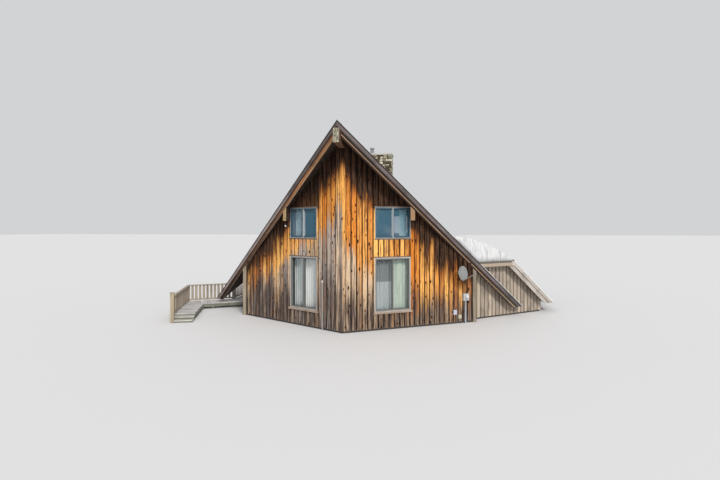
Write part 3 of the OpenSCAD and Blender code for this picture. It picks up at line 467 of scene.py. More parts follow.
def batten_places(start, angle, first, last, top_of, windows=()):
    """Places for battens from first to last along a wall, up to a level top or to one worked out
    from the place along the wall, and cut round its windows."""
    places = []

    def add(near, far, low, high):
        if far - near > 0.015 and high - low > 0.03:
            middle = at_wall(start, angle, (near + far) / 2, 0, low)
            places.append((middle, (far - near, BATTEN_T, high - low), (0, 0, angle)))

    first, last = sorted((first, last))
    for step in range(math.ceil(first / PITCH + 1e-6), math.ceil(last / PITCH)):
        along = step * PITCH
        near, far = along - BATTEN_W / 2, along + BATTEN_W / 2
        top = top_of(along) if callable(top_of) else top_of
        spans = [(WALL_FOOT, top)]
        for left, right, low, high in windows:
            a, b = sorted((math.copysign(left, along), math.copysign(right, along)))
            if near < b and far > a:
                spans = [piece for c, d in spans for piece in ((c, min(d, low)), (max(c, high), d))]
                add(near, min(far, a), low, min(high, top))
                add(max(near, b), far, low, min(high, top))
        for low, high in spans:
            add(near, far, low, high)
    return places


def front_top(along):
    return SOFFIT_Z - (abs(along) - BATTEN_W / 2) * math.cos(PROW)


def clad(node, battens, angle, places, seed, **look):
    """Cedar on a wall and on the battens over its joints."""
    finish(node, cedar("cedar_" + node, angle, **look))
    raised = cedar("cedar_" + battens, angle, True, **look)
    set_out(battens, batten_row, places, raised, seed)


SIDES = ((-1, "left"), (1, "right"))
HEAD = (UPPER_WIN[0], UPPER_WIN[1], UPPER_WIN[3])
front_looks = {-1: {"gloom": 0.88, "grey": 0.66, "bleach": ((4.5, 0.62), (5.0, 2.2))},
               1: {"gloom": 1.28, "grey": 0.12, "bleach": ((3.2, 1.0),)}}
for side, name in SIDES:
    # The battens stop short of the arris boards and the corner posts
    places = batten_places((0, 0), side * PROW, side * 0.1, side * (FACE_LEN - 0.16), front_top,
                           (UPPER_WIN, LOWER_WIN))
    clad("front_wall_" + name, "front_battens_" + name, side * PROW, places, 3 + side, head=HEAD,
         **front_looks[side])


# Trim of the prow and the wall openings
# Sawn boards cover the arris where the two front faces meet, the strip between the upper
# and the lower windows and the head over each upper window; a thicker sill sits under
# each lower window. All are nailed over the siding.
BOX_FACES = [(0, 1, 2, 3), (7, 6, 5, 4), (0, 4, 5, 1), (1, 5, 6, 2), (2, 6, 7, 3), (3, 7, 4, 0)]


def wall_block(start, angle, side, along0, along1, z0, z1, out, into=0.0):
    """The eight corners and six faces of a board on a wall."""
    points = [at_wall(start, angle, side * a, o, z) for z in (z0, z1)
              for a, o in ((along0, -into), (along1, -into), (along1, out), (along0, out))]
    return points, BOX_FACES if side > 0 else turned_over(BOX_FACES)


def front_block(side, *sizes):
    """A board on one of the two front faces."""
    return wall_block((0, 0), side * PROW, side, *sizes)


def joined(parts):
    """The points and the faces of several parts, in one list each."""
    points = []
    faces = []
    for part_points, part_faces in parts:
        faces += [tuple(len(points) + i for i in face) for face in part_faces]
        points += part_points
    return points, faces


def soften(piece, width, segments=2):
    """Wears the arrises of a piece a little."""
    worn = piece.modifiers.new("worn", "BEVEL")
    worn.width = width
    worn.segments = segments


def add_blocks(name, blocks, material, slot, bevel=0.004):
    """One piece made of several boards."""
    piece = add_mesh(name, *joined(blocks), material, slot)
    soften(piece, bevel)
    return piece


planks, given, gives = group(
    "sawn_planks", {"Along": 0.0, "Across": 0.0, "Pitch": 1.0, "Gap": 0.0, "Stain": 0.3,
                    "Light": (0.5, 0.4, 0.3, 1), "Dark": (0.2, 0.15, 0.1, 1)}, SURFACE)
along, across, pitch, gap, stain, light, dark = given
counted = across / pitch
own = wire(planks, "ShaderNodeTexWhiteNoise", None, counted.of("FLOOR"), noise_dimensions="1D")
seed = own * 41.0
grain = noise(xyz(across * 95.0, seed, along * 2.8), 4.0, 0.65)
streak = noise(xyz(across * 14.0, seed, along * 0.9))
blotch = noise(xyz(across * 2.5, 3.0, along * 1.7))
color = mix((own * 0.5 + streak * 1.4 - 0.45).fade(0.1, 0.9), light, dark)
color = mix(1.0, color, grain.fade(0.25, 0.75, 1.15, 0.74), "MULTIPLY")
color = mix(blotch.fade(0.5, 0.72) * stain, color, (0.035, 0.028, 0.024))
to_seam = (0.5 - abs(counted.of("FRACT") - 0.5)) * pitch
seam = to_seam.fade(0.002, 0.006, 1.0, 0.0) * gap
put(gives["Color"], mix(seam, color, (0.010, 0.008, 0.007)))
put(gives["Roughness"], grain.fade(0.2, 0.8, 0.88, 0.66))
put(gives["Height"], grain - seam * 2.0)


def lumber(name, light, dark, along=(0, 0, 1), across=(1, 1, 0), pitch=9.0, gap=0.0, stain=0.35, fold=False,
           shift=0.0):
    """Sawn timber whose grain runs along one direction, in planks that follow each other across it,
    the first from shift. Folded timber takes both sides of the ridge as one."""
    material, place = new_material(name)
    if fold:
        x, y, z = parts_of(place)
        place = xyz(abs(x), y, z)
    made = use(planks, Along=dot(place, along), Across=dot(place, across) - shift, Pitch=pitch, Gap=gap,
               Stain=stain, Light=(*light, 1), Dark=(*dark, 1))
    return cover(material, *made.values(), 0.4, 0.006)


level = {"along": (1, 0, 0), "across": (0, 0, 1)}
head_wood = lumber("head_trim_wood", (0.30, 0.20, 0.14), (0.12, 0.08, 0.06), **level)
sill_wood = lumber("sill_wood", (0.56, 0.44, 0.35), (0.33, 0.25, 0.20), **level)
ARRIS_W = 0.11
heads = []
sills = []
for side, name in SIDES:
    board = front_block(side, -BATTEN_T * math.tan(PROW), ARRIS_W, WALL_FOOT, SOFFIT_Z - ARRIS_W,
                        BATTEN_T + 0.004)
    look = cedar("cedar_arris_" + name, side * PROW, True, **{**front_looks[side], "gloom": 0.62})
    add_blocks("prow_arris_board_" + name, [board], look, "siding")
    left, right, low, high = UPPER_WIN
    heads.append(front_block(side, left - 0.06, right + 0.02, high, high + 0.03, 0.05))
    heads.append(front_block(side, left - 0.03, right + 0.03, low - 0.04, low, 0.04))
    left, right, low, high = LOWER_WIN
    heads.append(front_block(side, left - 0.03, right + 0.03, high, high + 0.035, 0.04))
    sills.append(front_block(side, left - 0.06, right + 0.06, low - 0.065, low, 0.075))
add_blocks("window_head_trim", heads, head_wood, "siding")
add_blocks("lower_window_sills", sills, sill_wood, "siding")


# Windows
# Sliding windows: a wooden casing and frame are let into the siding, and two sashes of
# painted metal stand in the frame, the inner one lapping behind the outer. The upper
# panes are tinted blue, the lower ones nearly clear, and the rooms behind them are dark.
CASING_W = 0.045
FRAME_W = 0.028
PANE_MID = 0.055
SASH_OFF = 0.012
SASH_W = 0.020
SASH_T = 0.018
STOREY_Z = 3.2
# Where the painted shade on the left lower window's sashes begins
PAINTED_SHADE_X = -2.15


def paint(name, color, under, roughness=0.5, wear=0.5):
    """Weathered paint: chalky patches, and the ground showing where it has gone thin."""
    material, place = new_material(name)
    fine = noise(place * (28, 28, 9), 4.0, 0.7)
    chalk = noise(place * (2.2, 2.2, 0.9), 4.0).fade(0.3, 0.7, 0.82, 1.08)
    color = mix(fine.fade(0.56, 0.68) * wear, mix(1.0, color, chalk, "MULTIPLY"), under)
    dull = fine.fade(0.3, 0.7, roughness, min(1.0, roughness + 0.25))
    return cover(material, color, dull, fine, 0.15, 0.003)


def frame_paint(name, window, rim, rim_w, inner, middle):
    """Paint of a front window: the rim of its casing, all that lies inside the rim, and the bar
    in the middle, told apart by the distances from the window's edges and middle."""
    material = paint(name, rim, (0.20, 0.17, 0.15), 0.5, 0.4)
    x, y, z = where(material)
    left, right, low, high = window
    off_middle = abs(abs(x) * math.cos(PROW) + y * math.sin(PROW) - (left + right) / 2)
    edge = ((right - left) / 2 - off_middle).of("MINIMUM", (z - low).of("MINIMUM", high - z))
    within = mix(off_middle.fade(0.016, 0.020, 1.0, 0.0), inner, middle)
    recolour(material, edge.fade(rim_w - 0.002, rim_w + 0.002), within)
    return material


finish("upper_window_frames", frame_paint("upper_frame_paint", UPPER_WIN, (0.36, 0.38, 0.39), 0.026,
                                          (0.05, 0.10, 0.14), (0.46, 0.50, 0.52)))
finish("lower_window_frames", frame_paint("lower_frame_paint", LOWER_WIN, (0.56, 0.51, 0.46), 0.034,
                                          (0.20, 0.205, 0.20), (0.17, 0.17, 0.165)))
finish("rear_window_frames", paint("rear_frame_paint", (0.42, 0.38, 0.35), (0.20, 0.16, 0.14)))

glass, place = new_material("window_glass")
is_upper = parts_of(place)[2].of("GREATER_THAN", STOREY_Z)
blue = mix(noise(place, 2.0, 0.5).fade(0.40, 0.62), (0.12, 0.30, 0.43), (0.26, 0.40, 0.52))
tint = mix(is_upper, (0.16, 0.23, 0.25), blue)
for label, value in (("Base Color", tint), ("Alpha", is_upper * 0.20 + 0.07), ("Roughness", 0.03),
                     ("Metallic", 0.0), ("IOR", 1.5), ("Transmission Weight", 0.0)):
    put(glass.node_tree.nodes["Principled BSDF"].inputs[label], value)
finish("front_glass", glass)
finish("rear_glass", glass)


def window_panes(window):
    """Left, right, low and high of the two openings of a window's frame."""
    left, right, low, high = window
    inner = right - left - 2 * CASING_W
    wide = (inner - 3 * FRAME_W) / 2
    for i in (0, 1):
        a = left + CASING_W + FRAME_W + i * (inner - FRAME_W) / 2
        yield a, a + wide, low + CASING_W + FRAME_W, high - CASING_W - FRAME_W


def sash_blocks(start, angle, side, window, meeting):
    """Either the front meeting stile of a window or all the other rails and stiles of its sashes, the
    first sash in front of its pane and the second behind."""
    blocks = []
    for i, (a, b, low, high) in enumerate(window_panes(window)):
        near = PANE_MID + SASH_OFF if i else PANE_MID - SASH_OFF - SASH_T
        stiles = [(a, a + SASH_W, low, high), (b - SASH_W, b, low, high)]
        middle = stiles.pop(0 if i else 1)
        rails = [(a + SASH_W, b - SASH_W, z, z + SASH_W) for z in (low, high - SASH_W)]
        if meeting:
            chosen = [] if i else [middle]
        else:
            chosen = stiles + rails + ([middle] if i else [])
        blocks += [wall_block(start, angle, side, *sizes, -near, near + SASH_T) for sizes in chosen]
    return blocks


sash_blue = paint("sash_blue_grey", (0.06, 0.10, 0.13), (0.03, 0.03, 0.03), 0.4, 0.3)
sash_grey = paint("sash_grey", (0.22, 0.23, 0.22), (0.12, 0.12, 0.12), 0.4, 0.3)
# Painted shade: the lower sashes at the outer side of the left lower window are near black.
recolour(sash_grey, where(sash_grey)[0].of("LESS_THAN", PAINTED_SHADE_X), (0.035, 0.040, 0.042))
meeting_pale = paint("meeting_stile_pale", (0.50, 0.53, 0.54), (0.20, 0.20, 0.20), 0.4, 0.3)
meeting_grey = paint("meeting_stile_grey", (0.17, 0.17, 0.165), (0.09, 0.09, 0.09), 0.4, 0.3)
for title, window, meeting, look in (("upper_sashes", UPPER_WIN, False, sash_blue),
                                     ("upper_meeting_stiles", UPPER_WIN, True, meeting_pale),
                                     ("lower_sashes", LOWER_WIN, False, sash_grey),
                                     ("lower_meeting_stiles", LOWER_WIN, True, meeting_grey)):
    blocks = [block for side in (-1, 1) for block in sash_blocks((0, 0), side * PROW, side, window, meeting)]
    add_blocks(title, blocks, look, "window_frames", 0.002)

# The rear windows stand in the same frames, their distances taken from the centre line
REAR_WIN_LEFT = UPPER_WIN[1] * math.cos(PROW) - (UPPER_WIN[1] - UPPER_WIN[0])
rear_windows = [(REAR_WIN_LEFT, REAR_WIN_LEFT + 1.5, UPPER_WIN[2], UPPER_WIN[3]),
                (REAR_WIN_LEFT, REAR_WIN_LEFT + 1.52, LOWER_WIN[2], LOWER_WIN[3])]
blocks = [block for side in (-1, 1) for window in rear_windows for meeting in (False, True)
          for block in sash_blocks((0, REAR_Y), math.pi, -side, window, meeting)]
add_blocks("rear_sashes", blocks, meeting_grey, "window_frames", 0.002)


# Curtains
# Unlined curtains of plain weave, gathered on a rail over each front window: one at
# each side of the upper windows, and a pair that nearly closes each lower window.
RAIL_IN = 0.25
FOLD_DEPTH = 0.022
FOLD_PITCH = 0.105
FOLD_STEP = 0.006
HEIGHT_STEPS = 14


def cloth(name, color, shade_color, shaded_above=9.0):
    """Woven cloth, darker above a height as painted shade, where the room behind it is dark."""
    material, place = new_material(name)
    x, y, z = parts_of(place)
    run = x + y
    weave = noise(xyz(run * 320.0, 0.0, z * 320.0))
    slow = noise(xyz(run * 9.0, 0.0, z * 0.6))
    woven = mix((weave * 0.35 + slow * 0.8).fade(0.35, 0.8), color, shade_color)
    dim = z.fade(shaded_above - 0.02, shaded_above + 0.02)
    return cover(material, mix(dim, woven, tuple(0.6 * part for part in shade_color)),
                 weave.fade(0.3, 0.7, 0.95, 0.85), weave, 0.2, 0.002)


def grid_faces(rows, columns):
    """Faces between the points of a grid that are listed row by row."""
    wide = columns + 1
    return [(r * wide + i, r * wide + i + 1, (r + 1) * wide + i + 1, (r + 1) * wide + i)
            for r in range(rows) for i in range(columns)]


def curtain(name, side, left, right, low, high, material, seed):
    """A gathered curtain from left to right along a front face. Its folds tighten towards the rail."""
    steps = round((right - left) / FOLD_STEP)
    rng = random.Random(seed)
    sway = [rng.uniform(-1, 1) for k in range(5)]
    points = []
    flat = 0.0
    for k in range(HEIGHT_STEPS + 1):
        z = low + (high - low) * k / HEIGHT_STEPS
        drop = (high - z) / (high - low)
        row = []
        for i in range(steps + 1):
            along = left + (right - left) * i / steps
            phase = 2 * math.pi * (along - left) / FOLD_PITCH
            lean = 0.7 * math.sin(3.1 * along + sway[0] * 3) + 0.4 * sway[1] * math.sin(9 * along + sway[2])
            fold = math.sin(phase + lean * (0.4 + drop)) + 0.25 * sway[3] * math.sin(2 * phase + sway[4])
            row.append(at_wall((0, 0), side * PROW, side * along, -RAIL_IN - 0.8 * FOLD_DEPTH * fold, z))
        flat = max(flat, sum(math.dist(a, b) for a, b in zip(row, row[1:])))
        points += row
    faces = grid_faces(HEIGHT_STEPS, steps)
    piece = add_mesh(name, points, faces if side > 0 else turned_over(faces), material, "curtain_cloth", True)
    body = piece.modifiers.new("cloth", "SOLIDIFY")
    body.thickness = 0.002
    body.offset = 0
    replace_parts(piece, "curtains")
    high - low


white_cloth = cloth("white_curtain", (0.95, 0.97, 0.94), (0.86, 0.89, 0.86))
grey_cloth = cloth("grey_curtain", (0.80, 0.84, 0.83), (0.52, 0.58, 0.58))
# This curtain is darker above 1.8 m: painted shade.
shade_topped_cloth = cloth("curtain_with_painted_shade_top", (0.60, 0.65, 0.66), (0.42, 0.46, 0.47), 1.80)
green_cloth = cloth("greenish_curtain", (0.70, 0.80, 0.70), (0.40, 0.50, 0.41))
teal_cloth = cloth("teal_curtain", (0.78, 0.92, 0.86), (0.52, 0.70, 0.68))
dusk_cloth = cloth("dusk_curtain", (0.10, 0.16, 0.22), (0.05, 0.08, 0.12))
for side, name in SIDES:
    inner, outer, meet = (white_cloth, grey_cloth, 0.66) if side < 0 else (shade_topped_cloth, green_cloth, 0.57)
    for title, window, hem, start, end, look, seed in (
            (f"upper_{name}_curtain_inner", UPPER_WIN, 0.02, 0.02, 0.16, dusk_cloth, 11),
            (f"upper_{name}_curtain_outer", UPPER_WIN, 0.02, 0.76, 0.98, teal_cloth, 12 + side),
            (f"lower_{name}_curtain_inner", LOWER_WIN, -0.035, 0.03, meet - 0.01, inner, 15 + side),
            (f"lower_{name}_curtain_outer", LOWER_WIN, -0.035, meet + 0.01, 1.0, outer, 18 + side)):
        left, right, low, high = window
        wide = right - left
        curtain(title, side, left + start * wide, left + end * wide, low + hem, high - 0.0105, look, seed)
finish("curtain_rails", paint("rail_white", (0.6, 0.6, 0.58), (0.4, 0.4, 0.4), 0.35, 0.1))


# Roof
# Laminated shingles in courses over boarded slabs, laid from the eaves up and cut along
# the slanting front edges, with capping pieces bent over the ridge. The slabs' undersides
# are stained boards that run the length of the house.
VERGE_TAN = math.tan(VERGE)
ROOF_REAR = REAR_Y + 0.9
FOOT_Z = 0.41
COURSE = 0.145
TAB_W = 0.305
TAB_T = 0.012
CAP_W = 0.15
CAP_LEN = 0.17
CAP_IN = 0.12
LEFT_EAVE_X = 5.85
TAIL_FOOT = ((RIDGE_Z - FOOT_Z), 3.98)
TAIL_BACK = (LEFT_EAVE_X, 5.19)
WING_JOINT_X = 5.16
FIN_END = 0.39
FLAT_Z = 2.43
FLAT_X = 6.81
WING_RIDGE = RIDGE_Z + 1.65
ENTRY_Y = 6.1
ENTRY_W = 1.9
ENTRY_TOP = 2.86
ENTRY_IN_X = SOFFIT_Z - ENTRY_TOP
CHIMNEY = (-0.345, 1.005, 9.2, 10.1)


def verge_y(x, off=0.0):
    """Place of the roof's front edge at distance x from the ridge line, moved back by off."""
    return -PROW_OUT + x * VERGE_TAN + off / math.cos(VERGE)


def shingle_material():
    """Mineral shingles, each tab of its own tone, with some lichen."""
    material, place = new_material("laminated_shingles")
    y, z = parts_of(place)[1:]
    course = ((12.0 - z) * (math.sqrt(2) / COURSE)).of("FLOOR")
    tab = (y / TAB_W + course.of("MODULO", 3.0) * 0.37).of("FLOOR")
    own = wire(place.tree, "ShaderNodeTexWhiteNoise", xyz(course, tab, 0.0), noise_dimensions="2D")
    grit = noise(place * (160, 160, 160), 2.0, 0.8)
    tone = own * 0.5 + noise(place * (0.7, 0.35, 0.7)) * 0.6
    color = mix(tone.fade(0.25, 0.95), (0.085, 0.078, 0.074), (0.185, 0.165, 0.150))
    color = mix(1.0, color, grit.fade(0.3, 0.7, 0.7, 1.3), "MULTIPLY")
    lichen = noise(place * (5, 5, 5), 4.0).fade(0.6, 0.75, 0.0, 0.35)
    color = mix(lichen, color, (0.16, 0.17, 0.11))
    return cover(material, color, grit.fade(0.2, 0.8, 0.8, 0.98), grit, 0.5, 0.003)


def slope_courses(side, top_z, x_first, x_last, back_of=None, holes=()):
    """Places for shingles on a slope of 45 degrees that falls outwards from x = 0 at top_z."""
    rng = random.Random(7 * side + round(10 * x_first))
    places = []
    x = x_last
    while x > x_first + 0.01:
        upper = max(x_first, x - COURSE / math.sqrt(2))
        y = verge_y(upper) - TAB_W * rng.random()
        end = back_of(x) if back_of else ROOF_REAR
        while y < end:
            wide = min(TAB_W, end - y)
            middle = y + wide / 2
            if not any(a < side * x < b and c < middle < d for a, b, c, d in holes):
                lift = TAB_T * (0.85 + 0.3 * rng.random())
                places.append(((side * x, middle, top_z - x), (COURSE * 1.12, wide * 0.985, lift),
                               (0, side * math.radians(45), 0)))
            y += TAB_W
        x -= COURSE / math.sqrt(2)
    return places


def shear_off(piece, planes):
    """Saws a piece along planes (point, outward normal) and closes what was cut."""
    solid = bmesh.new()
    solid.from_mesh(piece.data)
    for point, normal in planes:
        cut = bmesh.ops.bisect_plane(solid, geom=solid.verts[:] + solid.edges[:] + solid.faces[:], dist=1e-5,
                                     plane_co=point, plane_no=normal, clear_outer=True)
        rims = [e for e in cut["geom_cut"] if isinstance(e, bmesh.types.BMEdge) and e.is_boundary]
        bmesh.ops.holes_fill(solid, edges=rims, sides=0)
    solid.to_mesh(piece.data)
    solid.free()


def verge_plane(side):
    """The upright plane of a slope's front edge."""
    return (0, verge_y(0), 0), (side * math.sin(VERGE), -math.cos(VERGE), 0)


def left_back(x):
    """Rear end of the left slope's courses, which stops short on the free tail."""
    if x <= LEFT_EAVE_X + 0.001:
        return ROOF_REAR
    return TAIL_BACK[1] + (x - TAIL_BACK[0]) * (TAIL_FOOT[1] - TAIL_BACK[1]) / (TAIL_FOOT[0] - TAIL_BACK[0])


def right_back(x):
    return ROOF_REAR if x <= WING_JOINT_X + 0.001 else verge_y(x, FIN_END)


shingles = shingle_material()
# A tab starts at its upper edge and grows thicker towards its butt
outline = ((-1, -0.5), (-1, 0.5), (0, 0.5), (0, -0.5))
tab = unit_part("shingle_tab", [(x, y, z if x else z * 4) for z in (0, 0.25) for x, y in outline], BOX_FACES)
shingle_rows = repeat_tree("shingle_courses", tab, 0.006)
entry_hole = (-9, -ENTRY_IN_X, ENTRY_Y, ENTRY_Y + ENTRY_W)
# Room is left in the courses for the chimney and the entry's roof
for side, name, back_of, holes, seed in ((-1, "left", left_back, [CHIMNEY, entry_hole], 5),
                                         (1, "right", right_back, [CHIMNEY], 6)):
    tabs = slope_courses(side, RIDGE_Z, 0, RIDGE_Z - FOOT_Z, back_of, holes)
    slope = set_out("shingles_" + name, shingle_rows, tabs, shingles, seed)
    shear_off(slope, [verge_plane(side)])

cap_places = []
y = -PROW_OUT
while y < ROOF_REAR - 0.02:
    wide = min(CAP_W, ROOF_REAR - y)
    if not CHIMNEY[2] - 0.05 < y < CHIMNEY[3]:
        cap_places += [((side * CAP_IN, y + wide / 2, RIDGE_Z - CAP_IN + TAB_T),
                        (CAP_LEN, wide * 0.98, TAB_T), (0, side * math.radians(45), 0)) for side in (-1, 1)]
    y += CAP_W
capping = set_out("ridge_capping", shingle_rows, cap_places, shingles, 8)
shear_off(capping, [verge_plane(-1), verge_plane(1)])

soffit_wood = lumber("soffit_boards", (0.055, 0.032, 0.020), (0.016, 0.010, 0.008), along=(0, 1, 0),
                     across=(math.sqrt(0.5), 0, -math.sqrt(0.5)), pitch=0.14, gap=0.9, fold=True)
for node in ("roof_left", "roof_right", "wing_slope_roof"):
    finish(node, soffit_wood)


# Edge boards of the roof
# The front edges carry layers that follow the slanting verge: a black metal drip edge, a
# stained fascia that has weathered to a purplish grey, and behind and below it a deeper
# barge rafter. A pale strip on the barge, low on the left slope and higher up on the right one,
# is a painted highlight of the barge's lit lower edge, a black bead under the fascia is a
# painted shadow of the gap above the barge, and the lower part of the barge is darkened as
# painted shade.
along_verge = tuple(Vector((1, VERGE_TAN, -1)).normalized())
edge_grain = {"along": along_verge, "across": (0.7, 0, 0.7)}
# The pale edge colour stands for the lit lower edge of the barge: a painted highlight.
fascia_wood, barge_wood, pale_edge = [
    lumber(name, light, dark, stain=stain, fold=True, **edge_grain) for name, light, dark, stain in (
        ("fascia_boards", (0.230, 0.190, 0.185), (0.105, 0.082, 0.080), 0.5),
        ("barge_timber", (0.36, 0.180, 0.080), (0.120, 0.060, 0.030), 0.6),
        ("barge_lit_edge_highlight", (0.56, 0.40, 0.25), (0.30, 0.19, 0.11), 0.25))]


def tinted_by_height(material, side, low, high, below, above):
    """Tints the boards on one slope, with one tint under a height and another over it."""
    x, z = where(material)[::2]
    recolour(material, (x * side).fade(0.0, 0.06), mix(z.fade(low, high), below, above), "MULTIPLY")


def painted_shade_under(material, side, foot, head):
    """Darkens the boards of one slope below a depth under the roof plane, foot low down and head at
    the top: painted shade, as in the shadow under the soffit."""
    x, z = where(material)[::2]
    limit = wire(material.node_tree, "ShaderNodeMapRange", z, 1.4, 6.6, foot, head)
    below = (RIDGE_Z - (abs(x) + z) - limit).fade(-0.012, 0.014)
    recolour(material, below * (x * side).fade(0.0, 0.06), (0.24, 0.18, 0.15), "MULTIPLY")


# Tints by height: the left fascia lighter towards the foot, the left barge and its edge strip darker towards
# it.
tinted_by_height(fascia_wood, -1, 4.6, 5.6, (2.1, 2.0, 1.8), (0.80, 0.72, 0.66))
tinted_by_height(fascia_wood, 1, 0.9, 1.7, (0.60, 0.60, 0.58), (1.0, 1.0, 1.0))
tinted_by_height(barge_wood, -1, 4.0, 5.6, (0.85, 0.80, 0.80), (1.85, 1.55, 1.25))
tinted_by_height(barge_wood, -1, 0.8, 2.4, (0.50, 0.50, 0.50), (1.0, 1.0, 1.0))
tinted_by_height(barge_wood, 1, 0.9, 1.7, (0.95, 1.40, 2.10), (0.55, 0.50, 0.50))
# Painted shade on the lower part of each barge, reaching higher up the left slope towards its foot.
painted_shade_under(barge_wood, -1, 0.28, 0.47)
painted_shade_under(barge_wood, 1, 0.285, 0.285)
tinted_by_height(pale_edge, -1, 3.4, 5.4, (0.34, 0.30, 0.28), (0.95, 0.92, 0.85))
tinted_by_height(pale_edge, 1, 0.9, 1.7, (0.95, 1.05, 1.15), (0.78, 0.76, 0.78))
finish("front_barge_rafters", barge_wood)
for node in ("front_fascia", "rear_fascia", "left_eave_board"):
    finish(node, fascia_wood)


def verge_bar(name, top_z, drops, offs, x_start, material, slot, sides=(-1, 1)):
    """A bar along the front edges, between two upright depths below a roof plane and two places
    measured back from the edge. Its lower end is cut level, and on the wing it reaches no further
    out than the foot of the slope."""
    least = 0 if top_z == WING_RIDGE else -1
    parts = []
    for side in sides:
        corners = [(x_start if near else top_z - FOOT_Z - max(least, drops[i]), drops[i], offs[j])
                   for near in (True, False) for i, j in ((0, 0), (0, 1), (1, 1), (1, 0))]
        points = [(side * x, verge_y(x, off), top_z - x - drop) for x, drop, off in corners]
        parts.append((points, BOX_FACES if side < 0 else turned_over(BOX_FACES)))
    return add_mesh(name, *joined(parts), material, slot)


# Black metal for the drip edge; the same black makes the bead under the fascia, a painted shadow of the gap
# above the barge.
drip_and_shadow_black = paint("drip_edge_and_shadow_black", (0.016, 0.016, 0.018), (0.07, 0.06, 0.055), 0.4, 0.4)
# The shadow bead is a painted shadow, and the barge's pale edge strips a painted highlight of its lit lower
# edge.
for name, drops, offs, start, look, slot, sides in (
        ("verge_drip_edge", (-0.020, 0.030), (-0.010, 0.0), 0, drip_and_shadow_black, "fascia_boards", (-1, 1)),
        ("verge_shadow_bead", (0.195, 0.235), (0.004, 0.044), 0.12, drip_and_shadow_black, "fascia_boards", (-1, 1)),
        ("barge_edge_moulding_left", (0.405, 0.466), (0.018, 0.042), 0.12, pale_edge, "barge_timber", (-1,)),
        ("barge_edge_moulding_right", (0.328, 0.378), (0.018, 0.042), 0.12, pale_edge, "barge_timber", (1,))):
    verge_bar(name, RIDGE_Z, drops, offs, start, look, slot, sides)


# Ridge beam, purlins and corner posts
# Solid sawn timbers. The ridge beam and the two purlins come out through the front
# faces to carry the overhang, and their ends were painted cream and have gone grey.
def timber(name, light, dark, end_light, end_dark, square_end=None):
    """Timber with a painted end, which is cut square at a place or else along the verge."""
    material, place = new_material(name)
    x, y, z = parts_of(place)
    body = use(planks, Along=y, Across=x + z, Pitch=9.0, Stain=0.45, Light=(*light, 1), Dark=(*dark, 1))
    checks = noise(place * (26, 5, 9), 4.0, 0.7)
    behind = y + PROW_OUT - abs(x) * VERGE_TAN if square_end is None else y - square_end
    painted = (behind - checks * 0.03).fade(-0.01, 0.012, 1.0, 0.0)
    worn = mix((checks + x.fade(0.5, 1.5, 0.0, 0.22)).fade(0.42, 0.60), end_light, end_dark)
    return cover(material, mix(painted, body["Color"], worn), body["Roughness"], checks, 0.5, 0.008)


finish("ridge_beam", timber("beam_timber", (0.22, 0.105, 0.045), (0.075, 0.038, 0.020), (0.46, 0.44, 0.32),
                            (0.12, 0.105, 0.070), -PROW_OUT - 0.18))
finish("purlins", timber("purlin_timber", (0.10, 0.050, 0.026), (0.035, 0.020, 0.013), (0.60, 0.44, 0.20),
                         (0.34, 0.20, 0.10)))
post_wood = lumber("corner_post_wood", (0.43, 0.36, 0.26), (0.20, 0.16, 0.12))
finish("corner_post_left", post_wood)
finish("corner_post_right", post_wood)


# Side and rear walls
# The same cedar boards and battens. They are kept drier under the low eaves and have
# gone a duller brown and grey than the two front faces.
def rear_top(along):
    return SOFFIT_Z - abs(along) + BATTEN_W / 2


LEFT = math.radians(-90)
RIGHT = math.radians(90)
left_start = (-CORNER_X, 0.0)
rear_start = (0.0, REAR_Y)
dull = {"gloom": 0.5, "grey": 0.6, "pale": 0.66}
left_places = batten_places(left_start, LEFT, -(REAR_Y - 0.05), -(CORNER_Y + 0.05),
                            SOFFIT_Z - CORNER_X + 0.02)
left_places = [row for row in left_places if not ENTRY_Y - 0.08 < row[0][1] < ENTRY_Y + ENTRY_W + 0.08]
rear_places = batten_places(rear_start, math.pi, -(CORNER_X - 0.02), CORNER_X - 0.02, rear_top, rear_windows)
clad("side_wall_left", "side_battens_left", LEFT, left_places, 9, start=left_start, **dull)
clad("rear_wall", "rear_battens", math.pi, rear_places, 10, start=rear_start, **dull)
finish("side_wall_right", cedar("cedar_side_wall_right", RIGHT, start=(CORNER_X, 0.0), **dull))


# Wing
# A lower side wing with a flat membrane roof in the angle of the main slope and a
# shingled outer slope. Its walls are grey and tan boards, and its edge boards are bare
# wood that has bleached to a pinkish white.
WING_START = (CORNER_X, verge_y(CORNER_X, FIN_END))
WING_EAVE = FLAT_Z - 0.12
KNEE_Z = 0.55
KNEE_X = WING_RIDGE - ROOF_V - KNEE_Z


def wing_top(along):
    x = CORNER_X + along * math.cos(VERGE)
    return min(WING_EAVE, WING_RIDGE - ROOF_V - x + BATTEN_W / 2)


def wing_rear_top(along):
    return min(WING_EAVE, WING_RIDGE - ROOF_V - abs(along) + BATTEN_W / 2)


wing_len = (KNEE_X - CORNER_X) / math.cos(VERGE)
for name, start, angle, first, last, top in (
        ("wing_front", WING_START, VERGE, 0.16, wing_len - 0.03, wing_top),
        ("wing_outer", (KNEE_X, 0.0), RIGHT, verge_y(KNEE_X, FIN_END) + 0.05, REAR_Y - 0.05, KNEE_Z + 0.02),
        ("wing_rear", rear_start, math.pi, -(KNEE_X - 0.03), -(CORNER_X + 0.03), wing_rear_top)):
    across = (math.cos(angle), math.sin(angle), 0)
    offset = start[0] * across[0] + start[1] * across[1]
    boards = {"across": across, "pitch": PITCH}
    finish(name + "_wall", lumber(name + "_boards", (0.34, 0.27, 0.20), (0.16, 0.12, 0.09), stain=0.5,
                                  shift=offset, **boards))
    top_boards = lumber(name + "_top_boards", (0.58, 0.49, 0.38), (0.36, 0.30, 0.25),
                        shift=offset - PITCH / 2, **boards)
    places = batten_places(start, angle, first, last, top)
    set_out(name + "_battens", batten_row, places, top_boards, 12)

